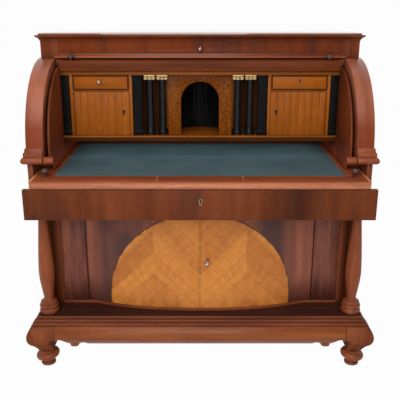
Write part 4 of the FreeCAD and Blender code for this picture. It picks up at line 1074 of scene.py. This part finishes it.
# back of upright planks with a groove between each two, wider above the board under the slide
plankPiece = {"count": 9, "edge": 0.0022}
backLow, backHigh = nodeBox("back_panels")
split = nodeBox("mid_board")[1].z
planks = []
for half, z0, z1 in ((postEdge, backLow.z, split), (backHigh.x, split, backHigh.z)):
    pitch = 2 * half / plankPiece["count"]
    for i in range(plankPiece["count"]):
        x0 = -half + pitch * i
        planks.append(boardBetween("plank", (x0, backLow.y, z0), (x0 + pitch, backHigh.y, z1), plankPiece["edge"]))
dress(joinPieces("backPlanks", planks), "back_panels", plankPine)
print("back planked")

# two pale lines let into the front border of the writing board
inlayPiece = {"x": 0.1544, "width": 0.002, "proud": 0.0002, "setback": 0.03}
inlayHalf = inlayPiece["width"] / 2
leatherFront = nodeBox("leather_panel")[0].y
lineFront = nodeBox("writing_board")[0].y + inlayPiece["setback"]
lines = [boardBetween("line", (x - inlayHalf, lineFront, boardTop - inlayPiece["proud"]),
                      (x + inlayHalf, leatherFront, boardTop + inlayPiece["proud"]))
         for x in (inlayPiece["x"], -inlayPiece["x"])]
trim(joinPieces("borderLines", lines), paleStrip, "pale_wood", "writing_slide")
print("lines inlaid")

# camera at the photo's place
cameraView = {"lens": 55.8, "sensor": 36.0, "place": (0.0, -2.451, 1.35), "tilt": 17.4}
cameraData = bpy.data.cameras.new("deskCamera")
cameraData.lens = cameraView["lens"]
cameraData.sensor_width = cameraView["sensor"]
camera = bpy.data.objects.new("deskCamera", cameraData)
camera.location = cameraView["place"]
camera.rotation_euler = (math.radians(90.0 - cameraView["tilt"]), 0.0, 0.0)
scene.collection.objects.link(camera)
scene.camera = camera

# white floor and wall, soft light from above and in front; each lamp's name, place, aim, size, energy, seen in gloss
studio = {
    "sheetSize": 60.0, "floorPlace": (0, 0, -0.0005), "wallPlace": (0, 12.0, 30.0), "grey": (0.8, 0.8, 0.8),
    "roughness": 0.9, "glow": 1.0, "whiteShare": 0.97, "worldStrength": 0.35,
    "lamps": [
        ("topSoftbox", (-0.4, -2.4, 3.0), (0.0, -0.2, 0.8), (3.2, 2.0), 56.0, True),
        ("fitmentFill", (0.0, 0.14, floorLow.z - 0.003), (0.0, 0.14, 0.0), (1.0, 0.24), 0.32, False),
        ("frontSoftbox", (-0.4, -3.5, 1.7), (0.0, 0.0, 0.7), (2.6, 1.6), 60.0, True),
    ],
}


def studioWhite():
    material, tree, shader = newMaterial("studioWhite")
    feedAll(tree, shader, {"Base Color": studio["grey"], "Roughness": studio["roughness"]})
    rays = put(tree, "ShaderNodeLightPath").outputs
    seen = mathNode(tree, "MAXIMUM", rays["Is Camera Ray"], rays["Is Glossy Ray"])
    seen = mathNode(tree, "MAXIMUM", seen, rays["Is Transmission Ray"])
    glow = put(tree, "ShaderNodeEmission", Strength=studio["glow"])
    blend = put(tree, "ShaderNodeMixShader")
    for index, source in enumerate((times(tree, seen, studio["whiteShare"]), shader.outputs[0], glow.outputs[0])):
        link(tree, source, blend.inputs[index])
    link(tree, blend.outputs[0], tree.nodes["Material Output"].inputs["Surface"])
    return material


def studioSheet(name, place, tilt, finish):
    deselectAll()
    bpy.ops.mesh.primitive_plane_add(size=studio["sheetSize"], location=place, rotation=(math.radians(tilt), 0, 0))
    sheet = bpy.context.object
    sheet.name = name
    paint(sheet, finish)


def areaLight(name, place, aim, size, energy, inGloss):
    data = bpy.data.lights.new(name, "AREA")
    data.shape = "RECTANGLE"
    data.size, data.size_y = size
    data.energy = energy
    lamp = bpy.data.objects.new(name, data)
    lamp.location = place
    lamp.rotation_euler = (Vector(aim) - Vector(place)).to_track_quat("-Z", "Y").to_euler()
    lamp.visible_glossy = inGloss
    scene.collection.objects.link(lamp)


def studioWorld():
    world = bpy.data.worlds.new("studioWorld")
    scene.world = world
    world.use_nodes = True
    tree = world.node_tree
    back = tree.nodes["Background"]
    back.inputs["Color"].default_value = (1.0, 1.0, 1.0, 1.0)
    rays = put(tree, "ShaderNodeLightPath").outputs
    seen = mathNode(tree, "MAXIMUM", rays["Is Camera Ray"], rays["Is Transmission Ray"])
    strength = plus(tree, times(tree, seen, 1.0 - studio["worldStrength"]), studio["worldStrength"])
    link(tree, strength, back.inputs["Strength"])


white = studioWhite()
studioSheet("studioFloor", studio["floorPlace"], 0.0, white)
studioSheet("studioWall", studio["wallPlace"], 90.0, white)
for lamp in studio["lamps"]:
    areaLight(*lamp)
studioWorld()
scene.view_settings.view_transform = "Standard"
print("studio set")
